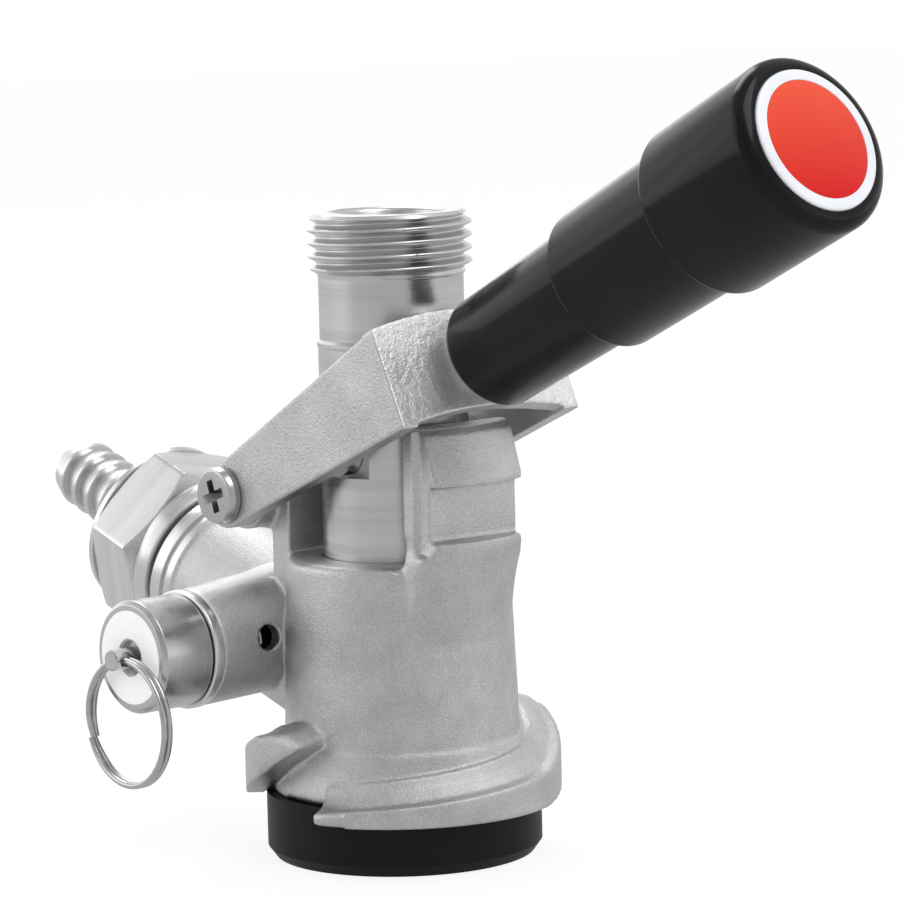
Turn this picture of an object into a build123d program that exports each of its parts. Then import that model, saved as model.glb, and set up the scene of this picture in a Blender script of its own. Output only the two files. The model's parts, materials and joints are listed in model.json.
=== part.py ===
from build123d import *
from math import asin, cos, degrees, radians, sin, sqrt
import os

# Keg coupler of the lever type, millimetres.  +Z runs up the probe, the grip
# points to +X, the gas inlet to -X and the relief valve to -Y.  The origin is
# the centre of the bottom seal's lower face.

# ---------------------------------------------------------------- fits
slip_fit = 0.05            # radial gap of a sliding fit
press_gap = 0.02           # radial gap drawn round a pressed or screwed piece
seat_gap = 0.05            # gap between a soft seat and what closes on it
side_gap = 0.1             # end float of a pin in its slot

# ---------------------------------------------------------------- bottom seal
seal_r = 19.4
seal_height = 9.2
seal_chamfer_r = 1.1
seal_chamfer_h = 1.5
seal_bore_r = 11.6
seal_neck_r = 15.0
seal_neck_height = 2.6

# ---------------------------------------------------------------- body casting
body_bottom = seal_height
skirt_r = 18.2
skirt_shoulder = 10.4
ledge_height = 16.3
ledge_r = 17.0
ledge_round = 0.6
barrel_foot_r = 16.6
barrel_top_r = 15.7
barrel_top = 42.3
barrel_top_round = 1.2
chamber_r = 12.6
chamber_top = 35.2
window_half_width = 11.9

lug_r = 22.3
lug_root_r = 14.4
lug_oversize = 2.0         # drawn past the lug's radius, then trimmed to it
lug_bottom = 7.3           # the lugs hang down round the seal
lug_land_r = 20.6          # inner edge of the flat land
lug_flare_r = (19.0, 18.2)
lug_flare_rise = (1.6, 3.0)
lug_seal_gap = 0.3
lug_top_fall = 0.12        # fall of the lug's top face per mm of radius
lug_step_deg = 10.0
lug_ramp_start = (-75.5, 9.4)
lug_ramp_end = (24.7, 12.6)
ear_stations = ((50, 1.3, 15.2, 0.7), (62, 3.2, 17.0, 0.5), (72, 5.0, 18.4, 0.35),
                (84, 7.4, 19.5, 0.2), (92, 8.9, 19.6, 0.12), (99, 10.2, 18.4, 0.1))

pad_half_width = 8.0
apron_half_width = 9.3     # the pad's foot spreads below the catch
apron_inset = 0.7
apron_top = 44.0
pad_r = 19.3
pad_foot = 29.6
pad_knee = (18.0, 40.0)
pad_lip = 44.8
pad_crest = 54.3
pad_ramp_top = 60.6
pad_ramp_top_r = 17.5
post_top = 61.5
post_embed = 2.0
notch_x = 16.2
notch_bottom = 45.9
notch_height = 7.6

post_half_width = 8.9

rear_post_half_width = 10.0
rear_post_x = 15.8
rear_post_foot = 34.0
rear_post_top = 57.0

# ---------------------------------------------------------------- O-rings
o_ring_section_r = 0.74
o_ring_groove_width = 1.7
o_ring_groove_r = 12.0
o_ring_heights = (37.4, 40.3)

# ---------------------------------------------------------------- probe
probe_top = 90.3
probe_r = 10.4
probe_neck_r = 10.15
probe_neck_bottom = 72.5
probe_bead_r = 10.55
probe_bead_height = 1.0
thread_r = 11.455
thread_bottom = 81.4
thread_bevel = 0.95
probe_bore_r = 7.85
probe_foot = 2.5
probe_shank_r = 9.1
probe_shank_top = 34.0
probe_head_r = 10.8
probe_head_height = 5.0
probe_seal_r = 11.2
probe_seal_height = 2.4
probe_inlet_r = 3.5
ball_seat_bottom = 10.0
slot_half_width = 5.1
slot_face_y = 9.0

ball_r = 5.5
ball_lift = 4.0
retainer_r = 0.9
retainer_embed = 0.7

# ---------------------------------------------------------------- lever
hinge_x = -18.9
hinge_z = 50.5
lever_angle = 26.0
arm_outer_y = 16.0
arm_thickness = 2.8
arm_end_r = 4.47
arm_end_drop = 0.27
bar_inner = 38.75          # from hinge axis to the crossbar's inner face
bar_thickness = 2.45
bar_top = 8.0
bar_bottom = -6.4
bar_arch = 1.9
bar_corner_r = 1.0
hinge_screw_r = 2.5
hinge_screw_depth = 7.0
hinge_head_r = 4.1
hinge_face_r = 3.55
hinge_head_height = 1.8
hinge_boss_r = 5.2
hinge_boss_half = 12.6
hinge_washer_r = 4.4
hinge_washer_thickness = 0.5

drive_pin_r = 3.25
drive_pin_along = 20.5
drive_pin_offset = -2.2
drive_pin_clearance = 0.3
drive_spigot_r = 2.1
drive_spigot_length = 1.7

# ---------------------------------------------------------------- latch and grip
grip_axis_offset = 1.56    # grip axis above the hinge, square to the lever
latch_tip_r = 2.5
latch_tip_chamfer = 0.3
latch_tip_start = 38.65    # just clear of the pad's crest
latch_guide_end = 44.6
sleeve_r = 5.0
sleeve_bore_r = 4.0
sleeve_end = 64.0
collar_start = 48.2
collar_length = 1.8
latch_rod_r = 2.6
latch_tail_r = 2.0
bush_length = 3.0
latch_nut_af = 7.0
latch_nut_height = 3.0
latch_spring_wire_r = 0.35
latch_spring_turns = 6

grip_start = 44.6
grip_end = 113.6
grip_base_round = 1.5
grip_base_r = 7.95
grip_base_end_r = 8.5
grip_step_1 = 69.6
grip_mid_r = 9.9
grip_mid_end_r = 10.2
grip_step_2 = 91.5
grip_large_r = 11.85
grip_large_end_r = 12.0
grip_shoulder = 1.3
grip_end_round = 2.1
grip_rim_r = 10.1
grip_wall_start = 67.6
grip_wall = 3.1
grip_cavity_r = 6.0
badge_ring_r = 9.6
badge_ring_depth = 2.2
badge_ring_proud = 0.35
badge_disc_r = 8.05
badge_disc_depth = 1.6
badge_dome = 0.35

# ---------------------------------------------------------------- gas inlet
gas_z = 21.5               # height where the inlet axis meets the probe axis
gas_angle = 19.5
gas_root = 9.0
gas_boss_r = 10.9
gas_boss_end_r = 11.5
gas_rim_start = 40.2
gas_rim_r = 11.8
gas_rim_groove = 41.8
gas_groove_width = 0.35
gas_groove_depth = 0.4
gas_land_r = 12.15
gas_land_end = 44.5
gas_spigot_r = 9.6
gas_spigot_end = 51.0
gas_bore_r = 4.2
valve_seat_r = 5.6
valve_seat_depth = 1.5

nut_start = 45.3
nut_collar_r = 12.4
nut_collar_length = 3.0
nut_af = 25.0
nut_hex_length = 9.7
nut_rear_length = 1.5
nut_rear_r = 12.9
nut_rear_bevel = 0.6
nut_wall = 4.0
nut_chamfer_fall = 1.2
nut_chamfer_rear = 1.1
nut_chamfer_rim = 0.3      # chamfer circle inside the flats
nut_turn = 9.0             # where the tightened nut's flats point
washer_thickness = 0.8
tail_flange_r = 8.4
tail_flange_length = 1.4
barb_shank_r = 4.5
barb_valley_r = 4.2
barb_crest_r = 5.2
barb_tip_r = 4.3
barb_bore_r = 2.9
barb_tip = 80.6
barb_pitch = 3.3
barb_count = 4
barb_land = 0.5

valve_bill_length = 7.0
valve_bill_width = 6.4
valve_bill_thickness = 0.9

# ---------------------------------------------------------------- relief valve
relief_x = -19.5           # the relief boss branches off the gas neck
relief_z = 29.4
relief_boss_r = 8.3
relief_boss_root = 3.0
relief_boss_root_r = 8.9
relief_boss_rise = 1.4     # the cast boss starts higher than the valve's axis
relief_collar_start = 22.7
relief_collar_r = 8.4
relief_face = 24.1
relief_bore_r = 6.5
relief_seat = 9.0
relief_seat_lip = 0.8
relief_port_r = 2.0
relief_exhaust_r = 1.8
relief_exhaust_rise = 1.4
relief_exhaust_at = 14.6
gasket_thickness = 0.5
gasket_r = 7.7
relief_cap_r = 7.95
relief_cap_end = 32.7
relief_cap_chamfer = 0.9
relief_spigot_length = 6.0
relief_cap_bore_r = 5.35
relief_cap_wall = 2.6
relief_recess_r = 2.4
relief_recess_depth = 0.9
label_r = 6.6
label_bore_r = 2.7
label_thickness = 0.2
label_recess = 0.1
relief_pin_r = 1.5
relief_pin_end = 36.2
relief_head_r = 4.3
relief_head_height = 1.5
relief_seal_r = 3.9
relief_seal_height = 1.5
relief_spring_wire_r = 0.45
relief_spring_turns = 6
ring_hole_at = 34.4
ring_hole_r = 1.15
ring_wire_r = 0.45
ring_wire_spacing = 0.85
ring_mean_r = 8.8
ring_sag = 0.1
ring_lean = 9.0            # the ring hangs a little askew

# ---------------------------------------------------------------- frames
along = Vector(cos(radians(lever_angle)), 0, sin(radians(lever_angle)))
across = Vector(-sin(radians(lever_angle)), 0, cos(radians(lever_angle)))
hinge = Vector(hinge_x, 0, hinge_z)
lever_plane = Plane(origin=hinge, x_dir=along, z_dir=(0, -1, 0))
grip_origin = hinge + across * grip_axis_offset
grip_plane = Plane(origin=grip_origin, x_dir=along, z_dir=(0, -1, 0))
grip_axis = Axis(grip_origin, along)

gas_way = Vector(-cos(radians(gas_angle)), 0, sin(radians(gas_angle)))
gas_origin = Vector(0, 0, gas_z)
gas_plane = Plane(origin=gas_origin, x_dir=gas_way, z_dir=(0, 1, 0))
gas_axis = Axis(gas_origin, gas_way)

relief_origin = Vector(relief_x, 0, relief_z)
relief_way = Vector(0, -1, 0)
relief_plane = Plane(origin=relief_origin, x_dir=relief_way, z_dir=(-1, 0, 0))
relief_axis = Axis(relief_origin, relief_way)


def square_to(origin, way, distance, side=(0, 1, 0)):
    """Plane that an axis pierces square on, at a distance along the axis."""
    return Plane(origin=origin + way * distance, x_dir=side, z_dir=way)


def lug_plane(angle):
    """Upright half-plane through the probe axis, turned to an angle."""
    turn = radians(angle)
    return Plane(origin=(0, 0, 0), x_dir=(cos(turn), sin(turn), 0),
                 z_dir=(sin(turn), -cos(turn), 0))


def save(part, name):
    """Label a finished piece and write it to the parts folder."""
    part.label = name
    export_step(part, f"parts/{name}.step")


os.makedirs("parts", exist_ok=True)

# ---------------------------------------------------------------- bayonet lug
# A cam that climbs round the skirt and ends in a hooked ear.
ramp_rise = lug_ramp_end[1] - lug_ramp_start[1]
ramp_sweep = lug_ramp_end[0] - lug_ramp_start[0]
ramp_steps = round(ramp_sweep / lug_step_deg)
lug_stations = [(lug_ramp_start[0] + ramp_sweep * i / ramp_steps, 0.0,
                 lug_ramp_start[1] + ramp_rise * i / ramp_steps, 1.0)
                for i in range(ramp_steps + 1)]
lug_stations += ear_stations
lug_over_r = lug_r + lug_oversize

with BuildPart() as lug:
    for angle, lift, top, flare in lug_stations:
        with BuildSketch(lug_plane(angle)):
            with BuildLine():
                Polyline((lug_root_r, lug_bottom + lift), (lug_over_r, lug_bottom + lift),
                         (lug_over_r, top - lug_top_fall * (lug_over_r - lug_land_r)),
                         (lug_land_r, top), (lug_flare_r[0], top + lug_flare_rise[0] * flare),
                         (lug_flare_r[1], top + lug_flare_rise[1] * flare),
                         (lug_root_r, top + lug_flare_rise[1] * flare), close=True)
            make_face()
    loft(ruled=True)
    Cylinder(lug_r, 2 * barrel_top, mode=Mode.INTERSECT)
    Cylinder(seal_r + lug_seal_gap, 2 * body_bottom, mode=Mode.SUBTRACT)

# ---------------------------------------------------------------- front post and latch pad
post_r = pad_ramp_top_r - 0.9

with BuildPart() as pad:
    with BuildSketch(Plane.XZ):
        with BuildLine():
            Polyline((window_half_width, pad_foot), (barrel_top_r, pad_foot), pad_knee,
                     (pad_r, pad_lip), (pad_r, pad_crest), (pad_ramp_top_r, pad_ramp_top),
                     (post_r, post_top), (window_half_width, post_top), close=True)
        make_face()
    revolve(axis=Axis.Z)
    with Locations((window_half_width, 0, 0)):
        Box(pad_r, 2 * pad_half_width, 3 * post_top,
            align=(Align.MIN, Align.CENTER, Align.CENTER), mode=Mode.INTERSECT)
    with Locations((notch_x, 0, notch_bottom)):
        Box(pad_r, 3 * pad_half_width, notch_height,
            align=(Align.MIN, Align.CENTER, Align.MIN), mode=Mode.SUBTRACT)

with BuildPart() as apron:
    with BuildSketch(Plane.XZ):
        with BuildLine():
            Polyline((window_half_width, pad_foot), (barrel_top_r, pad_foot),
                     (pad_knee[0] - apron_inset, pad_knee[1]), (pad_r - apron_inset, apron_top),
                     (window_half_width, apron_top), close=True)
        make_face()
    revolve(axis=Axis.Z)
    with Locations((window_half_width, 0, 0)):
        Box(pad_r, 2 * apron_half_width, 3 * post_top,
            align=(Align.MIN, Align.CENTER, Align.CENTER), mode=Mode.INTERSECT)

with BuildPart() as front_post:
    with Locations((0, 0, barrel_top - post_embed)):
        Cylinder(post_r, post_top - barrel_top + post_embed,
                 align=(Align.CENTER, Align.CENTER, Align.MIN))
    with Locations((window_half_width, 0, 0)):
        Box(pad_r, 2 * post_half_width, 3 * post_top,
            align=(Align.MIN, Align.CENTER, Align.CENTER), mode=Mode.INTERSECT)
    with Locations((notch_x, 0, notch_bottom)):
        Box(pad_r, 3 * pad_half_width, notch_height,
            align=(Align.MIN, Align.CENTER, Align.MIN), mode=Mode.SUBTRACT)

# ---------------------------------------------------------------- rear post
with BuildPart() as rear_post:
    with BuildSketch(Plane.XZ):
        with BuildLine():
            Polyline((-window_half_width, rear_post_foot), (-rear_post_x, rear_post_foot),
                     (-rear_post_x, hinge_z - hinge_boss_r), (hinge_x, hinge_z - hinge_boss_r),
                     (hinge_x, hinge_z + hinge_boss_r), (-rear_post_x, rear_post_top),
                     (-window_half_width, rear_post_top), close=True)
        make_face()
        with Locations((hinge_x, hinge_z)):
            Circle(hinge_boss_r)
    extrude(amount=rear_post_half_width, both=True)
    with BuildSketch(Plane.XZ):
        with Locations((hinge_x, hinge_z)):
            Circle(hinge_boss_r)
    extrude(amount=hinge_boss_half, both=True)

# ---------------------------------------------------------------- body casting
with BuildPart() as body_casting:
    with BuildSketch(Plane.XZ):
        with BuildLine():
            Polyline((barrel_top_r - barrel_top_round, barrel_top), (0, barrel_top),
                     (0, body_bottom), (skirt_r, body_bottom), (skirt_r, skirt_shoulder),
                     (ledge_r, ledge_height), (barrel_foot_r, ledge_height + ledge_round),
                     (barrel_top_r, barrel_top - barrel_top_round))
            RadiusArc((barrel_top_r, barrel_top - barrel_top_round),
                      (barrel_top_r - barrel_top_round, barrel_top), -barrel_top_round)
        make_face()
    revolve(axis=Axis.Z)
    with BuildSketch(gas_plane):
        with BuildLine():
            Polyline((gas_root, 0), (gas_root, gas_boss_r), (gas_rim_start, gas_boss_end_r),
                     (gas_rim_start, gas_rim_r), (gas_rim_groove, gas_rim_r),
                     (gas_rim_groove, gas_land_r - gas_groove_depth),
                     (gas_rim_groove + gas_groove_width, gas_land_r - gas_groove_depth),
                     (gas_rim_groove + gas_groove_width, gas_land_r),
                     (gas_land_end, gas_land_r), (gas_land_end, gas_spigot_r),
                     (gas_spigot_end, gas_spigot_r), (gas_spigot_end, 0), close=True)
        make_face()
    revolve(axis=gas_axis)
    with PolarLocations(0, 2):
        add(lug.part)
    add(pad.part)
    add(apron.part)
    add(front_post.part)
    add(rear_post.part)
    with BuildSketch(square_to(relief_origin, relief_way, relief_boss_root, side=(1, 0, 0))):
        with Locations((0, relief_boss_rise)):
            Circle(relief_boss_root_r)
    with BuildSketch(square_to(relief_origin, relief_way, relief_collar_start, side=(1, 0, 0))):
        Circle(relief_boss_r)
    loft()
    with BuildSketch(square_to(relief_origin, relief_way, relief_collar_start, side=(1, 0, 0))):
        Circle(relief_collar_r)
    extrude(amount=relief_face - relief_collar_start)
    # gas chamber, guide bore, O-ring grooves and the seal's counterbore
    with BuildSketch(Plane.XZ):
        with BuildLine():
            Polyline((0, body_bottom - 1), (seal_neck_r + press_gap, body_bottom - 1),
                     (seal_neck_r + press_gap, body_bottom + seal_neck_height + press_gap),
                     (chamber_r, body_bottom + seal_neck_height + press_gap),
                     (chamber_r, chamber_top), (probe_r + slip_fit, chamber_top),
                     (probe_r + slip_fit, post_top + 1), (0, post_top + 1), close=True)
        make_face()
        with Locations(*[(o_ring_groove_r / 2, height) for height in o_ring_heights]):
            Rectangle(o_ring_groove_r, o_ring_groove_width)
    revolve(axis=Axis.Z, mode=Mode.SUBTRACT)
    # gas passage and the seat of its check valve
    with BuildSketch(gas_plane):
        with BuildLine():
            Polyline((0, 0), (0, gas_bore_r), (gas_spigot_end - valve_seat_depth, gas_bore_r),
                     (gas_spigot_end - valve_seat_depth, valve_seat_r + press_gap),
                     (gas_spigot_end + 1, valve_seat_r + press_gap), (gas_spigot_end + 1, 0),
                     close=True)
        make_face()
    revolve(axis=gas_axis, mode=Mode.SUBTRACT)
    # relief bore with its raised seat, and the port to the gas chamber
    with BuildSketch(relief_plane):
        with BuildLine():
            Polyline((0, 0), (0, relief_port_r), (relief_seat + relief_seat_lip, relief_port_r),
                     (relief_seat + relief_seat_lip, relief_port_r + 0.8),
                     (relief_seat, relief_port_r + 0.8), (relief_seat, relief_bore_r),
                     (relief_face + 1, relief_bore_r), (relief_face + 1, 0), close=True)
        make_face()
    revolve(axis=relief_axis, mode=Mode.SUBTRACT)
    with BuildSketch(Plane.YZ.offset(relief_x)):
        with Locations((-relief_exhaust_at, relief_z + relief_exhaust_rise)):
            Circle(relief_exhaust_r)
    extrude(amount=relief_boss_r + 1, mode=Mode.SUBTRACT)
    # tapped holes of the hinge screws
    for side in (-1, 1):
        with BuildSketch(Plane.XZ.offset(side * (hinge_boss_half + 1))):
            with Locations((hinge_x, hinge_z)):
                Circle(hinge_screw_r + press_gap)
        extrude(amount=-side * (hinge_screw_depth + 1 + press_gap), mode=Mode.SUBTRACT)

save(body_casting.part, "body_casting")

# ---------------------------------------------------------------- bottom seal
with BuildPart() as bottom_seal:
    with BuildSketch(Plane.XZ):
        with BuildLine():
            Polyline((seal_bore_r, 0), (seal_r - seal_chamfer_r, 0), (seal_r, seal_chamfer_h),
                     (seal_r, seal_height), (seal_neck_r, seal_height),
                     (seal_neck_r, seal_height + seal_neck_height),
                     (chamber_r, seal_height + seal_neck_height), (chamber_r, seal_height),
                     (seal_bore_r, seal_height - 2), close=True)
        make_face()
    revolve(axis=Axis.Z)

save(bottom_seal.part, "bottom_seal")

# ---------------------------------------------------------------- O-rings in the guide bore
o_ring_mean_r = probe_r + slip_fit + o_ring_section_r
with BuildPart() as lower_o_ring:
    with Locations((0, 0, o_ring_heights[0])):
        Torus(o_ring_mean_r, o_ring_section_r)

with BuildPart() as upper_o_ring:
    with Locations((0, 0, o_ring_heights[1])):
        Torus(o_ring_mean_r, o_ring_section_r)

save(lower_o_ring.part, "lower_o_ring")
save(upper_o_ring.part, "upper_o_ring")

# ---------------------------------------------------------------- probe
pin_centre = hinge + along * drive_pin_along + across * drive_pin_offset
slot_half_height = drive_pin_r + drive_pin_clearance
seat_apex = ball_seat_bottom - probe_inlet_r
ball_z = seat_apex + sqrt(2) * (ball_r + seat_gap)
retainer_z = ball_z + ball_r + ball_lift + retainer_r + seat_gap
groove_top = probe_foot + 1.2 + probe_seal_height

with BuildPart() as probe:
    with BuildSketch(Plane.XZ):
        with BuildLine():
            Polyline((probe_inlet_r, probe_foot), (probe_head_r - 0.8, probe_foot),
                     (probe_head_r, probe_foot + 0.8), (probe_head_r, probe_foot + 1.2),
                     (probe_shank_r, probe_foot + 1.2), (probe_shank_r, groove_top),
                     (probe_head_r, groove_top), (probe_head_r, probe_foot + probe_head_height),
                     (probe_shank_r, probe_foot + probe_head_height + 1.5),
                     (probe_shank_r, probe_shank_top - 1), (probe_r, probe_shank_top),
                     (probe_r, probe_neck_bottom - probe_bead_height),
                     (probe_bead_r, probe_neck_bottom - 0.6 * probe_bead_height),
                     (probe_bead_r, probe_neck_bottom - 0.2 * probe_bead_height),
                     (probe_neck_r, probe_neck_bottom + 0.2), (probe_neck_r, thread_bottom),
                     (thread_r, thread_bottom + 0.7), (thread_r, probe_top - thread_bevel),
                     (thread_r - thread_bevel, probe_top), (probe_bore_r + 0.5, probe_top),
                     (probe_bore_r, probe_top - 0.5),
                     (probe_bore_r, seat_apex + probe_bore_r), (probe_inlet_r, ball_seat_bottom),
                     close=True)
        make_face()
    revolve(axis=Axis.Z)
    for side in (-1, 1):
        with Locations((0, side * slot_face_y, pin_centre.Z)):
            Box(2 * slot_half_width, probe_r, 2 * slot_half_height,
                align=(Align.CENTER, Align.MIN if side > 0 else Align.MAX, Align.CENTER),
                mode=Mode.SUBTRACT)
    with BuildSketch(Plane.YZ):
        with Locations((0, retainer_z)):
            Circle(retainer_r + press_gap)
    extrude(amount=probe_bore_r + retainer_embed, both=True, mode=Mode.SUBTRACT)

save(probe.part, "probe")

with BuildPart() as probe_seal:
    with BuildSketch(Plane.XZ):
        with Locations((probe_shank_r + press_gap, probe_foot + 1.2 + press_gap)):
            Rectangle(probe_seal_r - probe_shank_r - press_gap, probe_seal_height - 2 * press_gap,
                      align=(Align.MIN, Align.MIN))
    revolve(axis=Axis.Z)
    fillet(probe_seal.edges().filter_by(GeomType.CIRCLE).group_by(SortBy.RADIUS)[-1], 0.6)

save(probe_seal.part, "probe_seal")

with BuildPart() as ball_retainer:
    with BuildSketch(Plane.YZ):
        with Locations((0, retainer_z)):
            Circle(retainer_r)
    extrude(amount=probe_bore_r + retainer_embed - press_gap, both=True)

save(ball_retainer.part, "ball_retainer")

with BuildPart() as beer_check_ball:
    with Locations((0, 0, ball_z)):
        Sphere(ball_r)

save(beer_check_ball.part, "beer_check_ball")

# ---------------------------------------------------------------- lever yoke
arm_inner_y = arm_outer_y - arm_thickness
bar_outer = bar_inner + bar_thickness
tip_r_bore = latch_tip_r + slip_fit

with BuildPart() as lever_yoke:
    for side in (-1, 1):
        with BuildSketch(lever_plane.offset(-side * arm_outer_y)):
            with BuildLine():
                Polyline((0, arm_end_r - arm_end_drop), (bar_outer, bar_top),
                         (bar_outer, bar_bottom), (0, -arm_end_r - arm_end_drop), close=True)
            make_face()
            with Locations((0, -arm_end_drop)):
                Circle(arm_end_r)
            Circle(hinge_screw_r + slip_fit, mode=Mode.SUBTRACT)
        extrude(amount=side * arm_thickness)
    with BuildSketch(square_to(hinge, along, bar_inner)):
        with BuildLine():
            ThreePointArc((-arm_outer_y, bar_top), (0, bar_top + bar_arch),
                          (arm_outer_y, bar_top))
            Line((arm_outer_y, bar_top), (arm_outer_y, bar_bottom))
            ThreePointArc((arm_outer_y, bar_bottom), (0, bar_bottom + bar_arch),
                          (-arm_outer_y, bar_bottom))
            Line((-arm_outer_y, bar_bottom), (-arm_outer_y, bar_top))
        make_face()
    extrude(amount=bar_thickness)
    with BuildSketch(square_to(grip_origin, along, bar_outer - 0.5)):
        Circle(sleeve_r)
    extrude(amount=sleeve_end - bar_outer + 0.5)
    with BuildSketch(square_to(grip_origin, along, 0)):
        Circle(tip_r_bore)
    extrude(amount=sleeve_end + 1, mode=Mode.SUBTRACT)
    with BuildSketch(square_to(grip_origin, along, latch_guide_end)):
        Circle(sleeve_bore_r)
    extrude(amount=sleeve_end, mode=Mode.SUBTRACT)
    for side in (-1, 1):
        with BuildSketch(lever_plane.offset(-side * arm_inner_y)):
            with Locations((drive_pin_along, drive_pin_offset)):
                Circle(drive_spigot_r + press_gap)
        extrude(amount=-side * (drive_spigot_length + press_gap), mode=Mode.SUBTRACT)

save(lever_yoke.part, "lever_yoke")

# ---------------------------------------------------------------- drive pins
with BuildPart() as drive_pin_right:
    with BuildSketch(lever_plane.offset(slot_face_y + side_gap)):
        with Locations((drive_pin_along, drive_pin_offset)):
            Circle(drive_pin_r)
    extrude(amount=arm_inner_y - slot_face_y - side_gap)
    with BuildSketch(lever_plane.offset(arm_inner_y)):
        with Locations((drive_pin_along, drive_pin_offset)):
            Circle(drive_spigot_r)
    extrude(amount=drive_spigot_length)

with BuildPart() as drive_pin_left:
    mirror(drive_pin_right.part, about=Plane.XZ)

save(drive_pin_right.part, "drive_pin_right")
save(drive_pin_left.part, "drive_pin_left")

# ---------------------------------------------------------------- hinge screws and washers
with BuildPart() as hinge_screw_right:
    with BuildSketch(Plane.XZ.offset(hinge_boss_half - hinge_screw_depth)):
        with Locations((hinge_x, hinge_z)):
            Circle(hinge_screw_r)
    extrude(amount=arm_outer_y + slip_fit - hinge_boss_half + hinge_screw_depth)
    with BuildSketch(Plane.XZ.offset(arm_outer_y + slip_fit)):
        with Locations((hinge_x, hinge_z)):
            Circle(hinge_head_r)
    with BuildSketch(Plane.XZ.offset(arm_outer_y + slip_fit + hinge_head_height)):
        with Locations((hinge_x, hinge_z)):
            Circle(hinge_face_r)
    loft()

with BuildPart() as hinge_screw_left:
    mirror(hinge_screw_right.part, about=Plane.XZ)

save(hinge_screw_right.part, "hinge_screw_right")
save(hinge_screw_left.part, "hinge_screw_left")

with BuildPart() as hinge_washer_right:
    with BuildSketch(Plane.XZ.offset(hinge_boss_half)):
        with Locations((hinge_x, hinge_z)):
            Circle(hinge_washer_r)
            Circle(hinge_screw_r + slip_fit, mode=Mode.SUBTRACT)
    extrude(amount=hinge_washer_thickness)

with BuildPart() as hinge_washer_left:
    mirror(hinge_washer_right.part, about=Plane.XZ)

save(hinge_washer_right.part, "hinge_washer_right")
save(hinge_washer_left.part, "hinge_washer_left")

# ---------------------------------------------------------------- latch
with BuildPart() as latch_plunger:
    with BuildSketch(grip_plane):
        with BuildLine():
            Polyline((latch_tip_start, 0), (latch_tip_start, latch_tip_r - latch_tip_chamfer),
                     (latch_tip_start + latch_tip_chamfer, latch_tip_r),
                     (collar_start, latch_tip_r), (collar_start, sleeve_bore_r - slip_fit),
                     (collar_start + collar_length, sleeve_bore_r - slip_fit),
                     (collar_start + collar_length, latch_rod_r), (grip_wall_start, latch_rod_r),
                     (grip_wall_start, latch_tail_r),
                     (grip_wall_start + grip_wall + latch_nut_height + 0.5, latch_tail_r),
                     (grip_wall_start + grip_wall + latch_nut_height + 0.5, 0), close=True)
        make_face()
    revolve(axis=grip_axis)

save(latch_plunger.part, "latch_plunger")

with BuildPart() as latch_bush:
    with BuildSketch(square_to(grip_origin, along, sleeve_end - bush_length)):
        Circle(sleeve_bore_r - press_gap)
        Circle(latch_rod_r + slip_fit, mode=Mode.SUBTRACT)
    extrude(amount=bush_length)

save(latch_bush.part, "latch_bush")

with BuildPart() as plunger_nut:
    with BuildSketch(square_to(grip_origin, along, grip_wall_start + grip_wall)):
        RegularPolygon(latch_nut_af / 2, 6, major_radius=False)
        Circle(latch_tail_r + press_gap, mode=Mode.SUBTRACT)
    extrude(amount=latch_nut_height)

save(plunger_nut.part, "plunger_nut")

latch_spring_start = collar_start + collar_length
latch_spring_length = sleeve_end - bush_length - latch_spring_start
latch_spring_mean_r = (sleeve_bore_r + latch_rod_r) / 2
latch_coil_height = latch_spring_length - 2 * (latch_spring_wire_r + seat_gap)
latch_coil_start = latch_spring_start + latch_spring_wire_r + seat_gap
with BuildPart() as latch_spring:
    with BuildLine():
        latch_coil = Helix(latch_coil_height / latch_spring_turns, latch_coil_height,
                           latch_spring_mean_r, center=grip_origin + along * latch_coil_start,
                           direction=along)
    with BuildSketch(Plane(origin=latch_coil @ 0, z_dir=latch_coil % 0)):
        Circle(latch_spring_wire_r)
    sweep(path=latch_coil, is_frenet=True)

save(latch_spring.part, "latch_spring")

# ---------------------------------------------------------------- grip
with BuildPart() as grip:
    with BuildSketch(grip_plane):
        with BuildLine():
            Line((grip_start, sleeve_r + slip_fit), (grip_start, grip_base_r - grip_base_round))
            RadiusArc((grip_start, grip_base_r - grip_base_round),
                      (grip_start + grip_base_round, grip_base_r), grip_base_round)
            Polyline((grip_start + grip_base_round, grip_base_r), (grip_step_1, grip_base_end_r),
                     (grip_step_1 + 0.3 * grip_shoulder, grip_mid_r - 0.3),
                     (grip_step_1 + grip_shoulder, grip_mid_r), (grip_step_2, grip_mid_end_r),
                     (grip_step_2 + 0.3 * grip_shoulder, grip_large_r - 0.3),
                     (grip_step_2 + grip_shoulder, grip_large_r),
                     (grip_end - grip_end_round, grip_large_end_r))
            SagittaArc((grip_end - grip_end_round, grip_large_end_r), (grip_end, grip_rim_r), -0.7)
            Polyline((grip_end, grip_rim_r), (grip_end, badge_ring_r + press_gap),
                     (grip_end - badge_ring_depth, badge_ring_r + press_gap),
                     (grip_end - badge_ring_depth, grip_cavity_r),
                     (grip_wall_start + grip_wall, grip_cavity_r),
                     (grip_wall_start + grip_wall, latch_tail_r + press_gap),
                     (grip_wall_start, latch_tail_r + press_gap),
                     (grip_wall_start, sleeve_r + slip_fit), (grip_start, sleeve_r + slip_fit))
        make_face()
    revolve(axis=grip_axis)

save(grip.part, "grip")

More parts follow.
